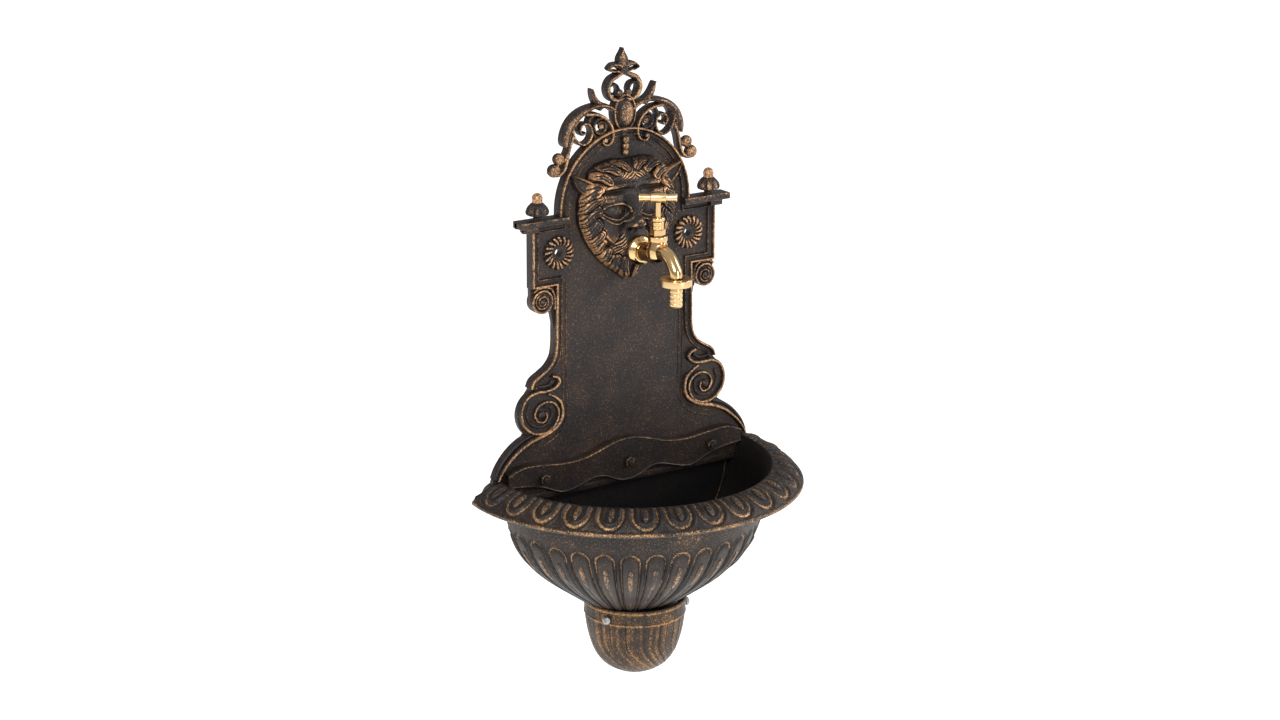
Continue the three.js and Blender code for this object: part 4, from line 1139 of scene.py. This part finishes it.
# bottom ring, cut flat at the wall, and drain spigot
lathe(bowl, rounded([(9, -276), (30, -276), (30, -270), (11, -270), (9, -271)], 0.6), seg=48, at=(0, -24),
      gold=0)
bowl.points[-1][:, 1] = np.minimum(bowl.points[-1][:, 1], 0)
lathe(bowl, [(9, -292), (16, -292), (16, -271), (9, -271)], seg=40, at=(0, -40), gold=0)
corner = through([(142.5, -122.5), (136, -139), (134, -150), (131, -164.5), (127, -178), (121, -192),
                  (111.5, -205.5), (92, -226), (71, -242), (45, -261), (25, -270.5)], 50)
half_wall = np.sqrt(np.maximum(corner[:, 0] ** 2 - AXIS_Y ** 2, 4)) + 2.6
wall_ring = [np.stack([sx * half_wall, np.full(50, y), corner[:, 1]], -1) for sx,
             y in ((-1, 0), (1, 0), (1, -7), (-1, -7))]
bowl.grid(np.stack(wall_ring, 1), SHADE)
bowl.build("basin_carved", BASIN_IRON, ["basin"], "fountain")

# %% [markdown]
# ### Wavy flange
# The back of the basin rises as a flat flange with a wavy upper and lower edge, and this is what
# the three bolts go through. It is one sheet between two curves with a thin gilded bead on both.

# %% Wavy flange
WAVE_TOP = [(0, -94.8), (10, -95.2), (22, -98), (35, -102), (46, -105.3), (57.5, -107.5), (70, -108.2),
            (83, -107.7), (95, -106.2), (105, -105.2), (115, -104.3),
            (125, -104.4), (135, -107), (144, -111)]
WAVE_LOW = [(0, -140.8), (7, -140.6), (15.7, -137.9), (24, -134), (31, -132), (41, -131.6), (57.4, -136),
            (64, -138), (74, -140), (83, -139.2), (92, -135.6), (101, -131.8),
            (112, -128.6), (125, -126.4), (144, -124.5)]


def band(heap, top, low, back, front, gold_edge=0.9):
    """A sheet between two wavy edges, with a raised bead along the edges."""
    x = np.linspace(-143.5, 143.5, 170)
    t2, l2 = through(top, 90), through(low, 90)
    zt, zl = np.interp(np.abs(x), t2[:, 0], t2[:, 1]), np.interp(np.abs(x), l2[:, 0], l2[:, 1])
    prof = [(0, back, 0), (0, front + 1.2, .3), (.5, front + .3, gold_edge), (1.4, front, gold_edge * .85),
            (2.2, front + .7, 0), (6, front + .9, -.1)]
    rows = [(zt - d, y, g) for d, y, g in prof] + [(zl + d, y, g * .55) for d, y, g in prof[::-1]]
    heap.grid(np.stack([np.stack([x, np.full(170, y), z], -1) for z, y, g in rows], 1),
              np.tile([g for z, y, g in rows], (170, 1)))


flange = Heap()
band(flange, WAVE_TOP, [(0, -142.5), (60, -142.5), (110, -142.5), (136, -142)], -8.4, -15, gold_edge=0.1)
band(flange, WAVE_TOP, WAVE_LOW, -12, -18.4, gold_edge=0.66)
# painted shade: this bar under the flange takes gold below zero, so it is painted blacker
box_shell(flange, -134, 134, -0.3, -15.2, -143, -136, gold=-0.3)
flange.build("basin_flange", BASIN_IRON, ["basin"], "fountain")

# %% [markdown]
# ### Eggs and drops
# Inside every loop on the rim lies an egg, and inside every tongue head a drop. Both follow the
# section of the basin, so one is made along that curve and the tree turns it about the bowl's axis.

# %% Eggs and drops
def on_section(heap, section, first, last, width, lift, gold):
    """A raised, rounded patch that follows a stretch of the basin's section at angle zero."""
    line = resample(section, 400)
    tang = np.gradient(line, axis=0)
    tang /= np.linalg.norm(tang, axis=1)[:, None]
    pick = np.linspace(first * 399, last * 399, 30)
    r, z = np.interp(pick, np.arange(400), line[:, 0]), np.interp(pick, np.arange(400), line[:, 1])
    nr, nz = -np.interp(pick, np.arange(400), tang[:, 1]), np.interp(pick, np.arange(400), tang[:, 0])
    s, q = np.linspace(0, 1, 30), np.linspace(0, 2 * np.pi, 16, endpoint=False)
    full = np.array([width(v) for v in s])
    side, up = full[:, None] * np.cos(q), (lift * np.minimum(1, full / full.max() + 0.1))[:, None] * np.sin(q)
    rr, zz = r[:, None] + nr[:, None] * up, z[:, None] + nz[:, None] * up
    heap.grid(np.stack([side, -rr, zz], -1), gold * np.clip(np.sin(q) + 0.15, 0, 1)[None,
            :] * np.ones((30, 1)))


egg = Heap()
on_section(egg, TOP[::-1], 0.12, 0.72, lambda s: 3.9 * math.sqrt(max(0.004, 1 - (2 * s ** 0.9 - 1) ** 2)),
           2.4, 0.6)
centre = (0.0, AXIS_Y * MM, 0.0)
repeated("rim_eggs", egg.loose("egg", BASIN_IRON), BASIN_IRON, ["basin"], "iron_basin", count=16,
         centre=centre,
         first_angle=math.radians(91.2), angle_step=-2 * math.pi / EGGS, wobble=0.004)
drop = Heap()
on_section(drop, BOWL[::-1], 0.225, 0.44, lambda s: 3.6 * math.sqrt(max(0.003,
        1 - abs(2 * s ** 0.6 - 1) ** 2.2)), 2.0, 0.66)
repeated("tongue_drops", drop.loose("drop", BASIN_IRON), BASIN_IRON, ["basin"], "iron_basin", count=17,
         centre=centre,
         first_angle=math.pi / 2, angle_step=-2 * math.pi / TONGUES, wobble=0.003)

# %% [markdown]
# ### Joint in the basin
# Where the bowl meets its flat back a bright, broken line runs down the corner. It is a row of very
# small beads, made by the same tree as the dotted lines.

# %% Joint in the basin
seam = [[(sx * px, -7.4, pz) for px, pz in through([(138.5, -123), (133.4, -139), (131, -150), (128, -164.5),
                                                    (123.5, -178), (117, -192)], 40)] for sx in (-1, 1)]
beaded("basin_joint", seam, BASIN_IRON, ["basin"], spacing=1.5, bead=0.65, gold=0.7)

# %% [markdown]
# ## Drain cover
# A cup-shaped iron cover hides the waste pipe below the bowl. It is dressed up as a small tub: a
# plain band on top and a body with uneven upright grooves that lean to one side near the bottom.
# It has no back, because it is pushed against the wall.

# %% Drain cover
CUP_Y, STAVE_ROWS, BAND_ROWS = -31, 70, 9


def drain_cover(heap, cols=460):
    rows = through([(8, -345), (21, -341), (34, -332.5), (43.3, -319), (49, -301), (51.6, -286),
                    (52.2, -280)], STAVE_ROWS)
    top = np.array([(52.6, -279.4), (53.2, -278.8), (53.2, -277.8), (52.7, -277.2), (52.8, -272),
                    (53, -266.6), (53.9, -266), (54, -264.8), (53.6, -263), (53, -262.2),
                    (51.5, -262), (49.5, -262.4), (49, -264)])
    inn = np.array([(48.8, -284), (44, -299), (38.5, -315.5), (30, -327.5), (18, -335.5), (8, -339)])
    prof = np.concatenate([rows, top, inn])
    number = np.arange(len(prof))[:, None]
    r, z = prof[:, 0][:, None], prof[:, 1][:, None]
    reach = np.arcsin(np.clip(-CUP_Y / np.maximum(r, 31.01), 0, 1))
    u = np.linspace(0, 1, cols)[None, :]
    t = -reach + u * (np.pi + 2 * reach)
    lean = t + 1.1 * np.clip((-300 - z) / 45, 0, 2) ** 2
    stave = 9.5 * lean + 0.55 * np.sin(4.3 * lean + 1) + 0.4 * np.sin(11 * lean)
    groove = np.exp(-((np.abs(np.sin(stave))) / 0.085) ** 2)
    hair = np.exp(-((np.abs(np.sin(2.7 * stave + 0.8 * np.sin(3 * lean)))) / 0.1) ** 2)
    waver = np.sin(31 * lean + 2 * np.sin(7 * lean) + 0.02 * z)
    lower = number < STAVE_ROWS
    upper = (number >= STAVE_ROWS) & (number < STAVE_ROWS + BAND_ROWS)
    lift = lower * (-0.85 * groove - 0.4 * hair + 0.12 * waver) + upper * (-0.35 * groove)
    # painted shade: the grooves and fine hair lines take gold below zero and are painted blacker
    gold = lower * (0.34 - 0.8 * groove - 0.45 * hair + 0.14 * waver) + upper * (0.34 - 0.4 * groove) + 0 * t
    # the band's edge rows get more rubbed gold; the inside rows from 84 on are lowered as painted shade
    gold = gold + np.isin(number, (70, 71, 72, 76, 77)) * 0.4 - (number > 83) * 0.5
    rr = r + lift
    x, y = rr * np.cos(t), np.minimum(CUP_Y - rr * np.sin(t), 0)
    heap.grid(np.stack([x, y, z * np.ones_like(t)], -1).transpose(1, 0, 2), gold.T)
    lathe(heap, [(0, -345), (8.6, -345), (8.6, -339), (0, -339)], seg=48, at=(0, CUP_Y), gold=0.2)


cup = Heap()
drain_cover(cup)
cup.build("drain_cover_cast", COVER_IRON, ["drain_cover"], "fountain")

# %% [markdown]
# ### Screws of the cover
# Two round-headed steel screws hold the cover, one each side. The head is turned once, with a
# small socket in its dome, and the tree sets it at both angles about the cup's axis.

# %% Screws of the cover
screw = Heap()
lathe(screw, rounded([(0, 44), (2.4, 44), (2.4, 54.2), (4.7, 54.2), (4.6, 55.4), (3.8, 56.8), (2.2, 57.7),
                      (1.1, 57.9), (0.9, 56.8), (0, 56.8)], 0.4), seg=32, at=(0, -273.5), along="y")
repeated("cover_screw_heads", screw.loose("screw", STEEL, 30), STEEL,
         ["cover_screw_left", "cover_screw_right"], "screws", count=2,
         first_angle=math.radians(-66), angle_step=math.radians(132), centre=(0.0, -0.031, 0.0))

# %% [markdown]
# ### Bolts of the basin
# Three small hexagonal bolts go through the flange in a row. Painted black with the basin, they
# show as a thin rubbed outline round a dark middle.

# %% Bolts of the basin
FLANGE_FRONT, BOLT_R = -18.5, 6.0


def hex_bolt(heap):
    a = np.radians(np.linspace(0, 360, 96, endpoint=False))
    hexed = math.cos(math.pi / 6) / np.cos((a + math.pi / 6) % (math.pi / 3) - math.pi / 6)
    rows = [(BOLT_R, 0, .1, 1), (BOLT_R, 4.2, .5, 1), (BOLT_R - .5, 4.9, .85, 1), (BOLT_R - 1.2, 5.1, .5, .5),
            (3.6, 5.0, 0, 0), (3.5, 7.2, 0, 0), (2.9, 7.8, .3, 0), (.02, 7.8, 0, 0)]
    pts, gold = [], []
    for r, out, g, flat in rows:
        rad = r * (hexed * flat + (1 - flat))
        pts.append(np.stack([rad * np.cos(a), np.full(96, FLANGE_FRONT - out), BOLT_Z + rad * np.sin(a)], -1))
        gold.append(g)
    heap.grid(np.array(pts), np.array(gold)[:, None] * np.ones(96))
    lathe(heap, [(0, 2), (4.0, 2), (4.0, 18.8), (0, 18.8)], seg=24, at=(0, BOLT_Z), gold=0, along="y")


bolt = Heap()
hex_bolt(bolt)
repeated("flange_bolts_hex", bolt.loose("bolt", BASIN_IRON, 25), BASIN_IRON,
         ["flange_bolt_left", "flange_bolt_middle", "flange_bolt_right"], "bolts", count=3,
         step=(0.103, 0.0, 0.0), centre=(-0.103, 0.0, 0.0))

# %% [markdown]
# ## The brass tap
# A small bib tap: a pipe comes out of the lion's mouth through a bell-shaped rose, swells into the
# valve body and curves down to the union. The casting has no seams, so its turned parts are melted
# into one skin with a fine voxel remesh. Everything turned stays a separate crisp piece.

# %% Body of the tap
VALVE_Y, SPOUT_Y, TAP_Z = -69.0, -101.0, 108.0


def tube(heap, points, radius, seg=36, count=60):
    line = through(points, count)
    tang = np.gradient(line, axis=0)
    tang /= np.linalg.norm(tang, axis=1)[:, None]
    across = np.array([1.0, 0, 0])
    up = np.cross(tang, across)
    t = np.linspace(0, 2 * np.pi, seg, endpoint=False)
    rad = np.array([radius(s) for s in np.linspace(0, 1, count)])
    heap.grid(line[:, None, :] + rad[:, None, None] * (across * np.cos(t)[:, None] + up[:, None,
            :] * np.sin(t)[:, None]), 0.5)


def fused(made, voxel, rounds):
    """Melts the overlapping shells of a casting into one smooth skin."""
    mod = made.modifiers.new("melt", "REMESH")
    mod.mode, mod.voxel_size, mod.use_smooth_shade = "VOXEL", voxel, True
    soft = made.modifiers.new("soft", "SMOOTH")
    soft.factor, soft.iterations = 0.5, rounds
    bpy.context.view_layer.update()
    done = bpy.data.meshes.new_from_object(made.evaluated_get(bpy.context.evaluated_depsgraph_get()))
    material = made.data.materials[0]
    made.modifiers.clear()
    made.data = done
    done.materials.clear()
    done.materials.append(material)
    done.polygons.foreach_set("use_smooth", [True] * len(done.polygons))
    print(made.name, "melted into", len(done.polygons), "faces")


body = Heap()
lathe(body, [(0, 20), (9.4, 20), (9.4, 48), (8.6, 53), (8.4, 66), (0, 70)], at=(0, TAP_Z), along="y")
lathe(body, [(0, 101.4), (4.2, 101.9), (7.8, 103.9), (10.2, 107.4), (11.3, 112), (10.9, 116.5), (9.9, 120.5),
             (9.2, 123.6), (9.2, 125), (0, 125)], at=(0, VALVE_Y))
tube(body, [(0, VALVE_Y, 112.5), (0, VALVE_Y - 7, 114), (0, VALVE_Y - 15, 113), (0, VALVE_Y - 22, 109.6),
            (0, -96.3, 104), (0, -99.8, 98.5), (0, SPOUT_Y, 92)],
     lambda s: 8.8 - 2.1 * min(1, s * 1.7))
cast = body.loose("tap_body_cast", BRASS)
fused(cast, 0.0005, 12)
dress(cast, ["tap_body"], "fountain")
collar = Heap()
lathe(collar, rounded([(0, 123.6), (9.1, 123.6), (9.9, 124.6), (9.9, 129.1), (9.3, 129.5), (0, 129.5)], 0.4),
      at=(0, VALVE_Y))
lathe(collar, [(0, 3), (9.5, 3), (9.5, 24), (0, 24)], at=(0, TAP_Z), along="y")
collar.build("tap_body_collar", BRASS, ["tap_body"], "fountain")

# %% [markdown]
# ### Rose, bonnet and gland
# The rose is a hollow bell that covers the hole in the mouth. Above the body come the hexagonal
# foot of the bonnet, its neck with a thin groove, and the gland ring that the spindle runs in.

# %% Rose, bonnet and gland
rose = Heap()
lathe(rose, rounded([(9.8, 34), (12.6, 33.9), (14.4, 35.0), (15.3, 37.2), (15.3, 39.6), (14.5, 41.5),
                     (13.2, 42.8), (12.0, 43.6), (11.4, 44.9), (9.8, 45)], 0.9, 5),
      seg=80, at=(0, TAP_Z), along="y")
rose.build("tap_flange_rose", BRASS, ["tap_flange"], "fountain", sharp=50)
bonnet = Heap()
turn = np.radians(np.arange(96) * 3.75)
flat = 7.8 * math.cos(math.pi / 6) / np.cos((turn + math.pi / 6) % (math.pi / 3) - math.pi / 6)
hexagon = [(0.02, 129.8), (.93, 129.8), (1, 130.4), (1, 135.8), (.93, 136.4), (0.02, 136.4)]
bonnet.grid(np.array([[(k * f * math.cos(q), VALVE_Y + k * f * math.sin(q), z) for q, f in zip(turn, flat)]
                      for k, z in hexagon]), 0.5)
lathe(bonnet, rounded([(0, 136), (6.2, 136), (6.2, 139.4), (5.8, 139.7), (6.2, 140), (6.2, 143.8),
                       (5.4, 144.4), (0, 144.4)], 0.3), at=(0, VALVE_Y))
bonnet.build("tap_bonnet_hex", BRASS, ["tap_bonnet"], "fountain", sharp=25)
gland = Heap()
lathe(gland, rounded([(3.3, 144.7), (6.6, 144.7), (7.1, 145.4), (7.1, 147.6), (6.5, 148.4), (3.3, 148.6)],
                     0.4), at=(0, VALVE_Y))
gland.build("tap_gland_ring", BRASS, ["tap_gland"], "fountain")

# %% [markdown]
# ### Spindle and T-handle
# The spindle and its handle turn together, so they ride on the tap_key body. The handle is a turned
# bar with a thicker middle and slightly flared ends.

# %% Spindle and T-handle
stem = Heap()
lathe(stem, [(0, 124), (2.9, 124), (2.9, 163.3), (0, 163.3)], seg=40, at=(0, VALVE_Y))
stem.build("tap_spindle_rod", BRASS, ["tap_spindle"], "tap_key")
bar = Heap()
lathe(bar, rounded([(0, -19), (3.9, -19), (4.4, -18.5), (4.2, -16), (3.7, -8.2), (3.9, -7.6), (4.9, -7.2),
                    (5.0, 0), (4.9, 7.2), (3.9, 7.6), (3.7, 8.2), (4.2, 16), (4.4, 18.5),
                    (3.9, 19), (0, 19)], 0.3), seg=48)
HANDLE_Z, HANDLE_TURN = 168.1, math.radians(-34)
upright, c, s = bar.points[0], math.cos(HANDLE_TURN), math.sin(HANDLE_TURN)
bar.points[0] = np.stack([upright[:, 2] * c - upright[:, 0] * s,
                          VALVE_Y + upright[:, 2] * s + upright[:, 0] * c,
                          HANDLE_Z + upright[:, 1]], 1)
bar.build("tap_handle_bar", SATIN_BRASS, ["tap_handle"], "tap_key")

# %% [markdown]
# ### Union nut and hose tail
# A plain sharp-edged disc clamps the tail. The tail has four shallow barbs to grip a hose, one rib
# repeated upwards by the node tree over a plain sleeve.

# %% Union nut and hose tail
nut = Heap()
lathe(nut, rounded([(7.1, 85.3), (15.7, 85.3), (16.2, 85.8), (16.2, 92.0), (15.7, 92.5), (9, 92.5),
                    (7.1, 92)], 0.2), seg=96, at=(0, SPOUT_Y))
nut.build("hose_union_disc", SATIN_BRASS, ["hose_union_nut"], "fountain", sharp=30)
sleeve = Heap()
lathe(sleeve, rounded([(4.4, 63.4), (5.9, 63.4), (6.4, 64.2), (6.4, 90.6), (4.4, 90.6)], 0.3), seg=48,
      at=(0, SPOUT_Y))
sleeve.build("hose_tail_sleeve", SATIN_BRASS, ["hose_tail"], "fountain")
rib = Heap()
lathe(rib, rounded([(5.8, 64.0), (6.2, 64.0), (6.9, 65.0), (6.9, 67.2), (6.5, 68.0), (5.8, 68.0)], 0.4),
      seg=48, at=(0, SPOUT_Y))
repeated("hose_tail_ribs", rib.loose("rib", SATIN_BRASS), SATIN_BRASS, ["hose_tail"], "tap", count=4,
         step=(0.0, 0.0, 0.0046))

# %% [markdown]
# ## Floor
# The fountain hangs on a wall, so the plain pale floor lies well below it. It is so large that it
# fills the background, and a little light of its own keeps it as white as the studio around it.

# %% Floor
def pale_floor(height=-0.9, half=40.0):
    mesh = bpy.data.meshes.new("floor")
    mesh.from_pydata([(-half, -half, height), (half, -half, height), (half, half, height),
                      (-half, half, height)], [], [(0, 1, 2, 3)])
    made, tree = new_material("pale_floor")
    shader = node(tree, "ShaderNodeBsdfPrincipled", {"Base Color": linear("#f2f1ef"), "Roughness": 0.9,
                                                     "Specular IOR Level": 0.1,
                                                     "Emission Color": linear("#ffffff"),
                                                     "Emission Strength": 0.8})
    node(tree, "ShaderNodeOutputMaterial", {"Surface": shader.outputs[0]})
    mesh.materials.append(made)
    floor = bpy.data.objects.new("floor", mesh)
    bpy.context.collection.objects.link(floor)
    return floor


print("floor at", round(pale_floor().data.vertices[0].co.z, 3), "m")
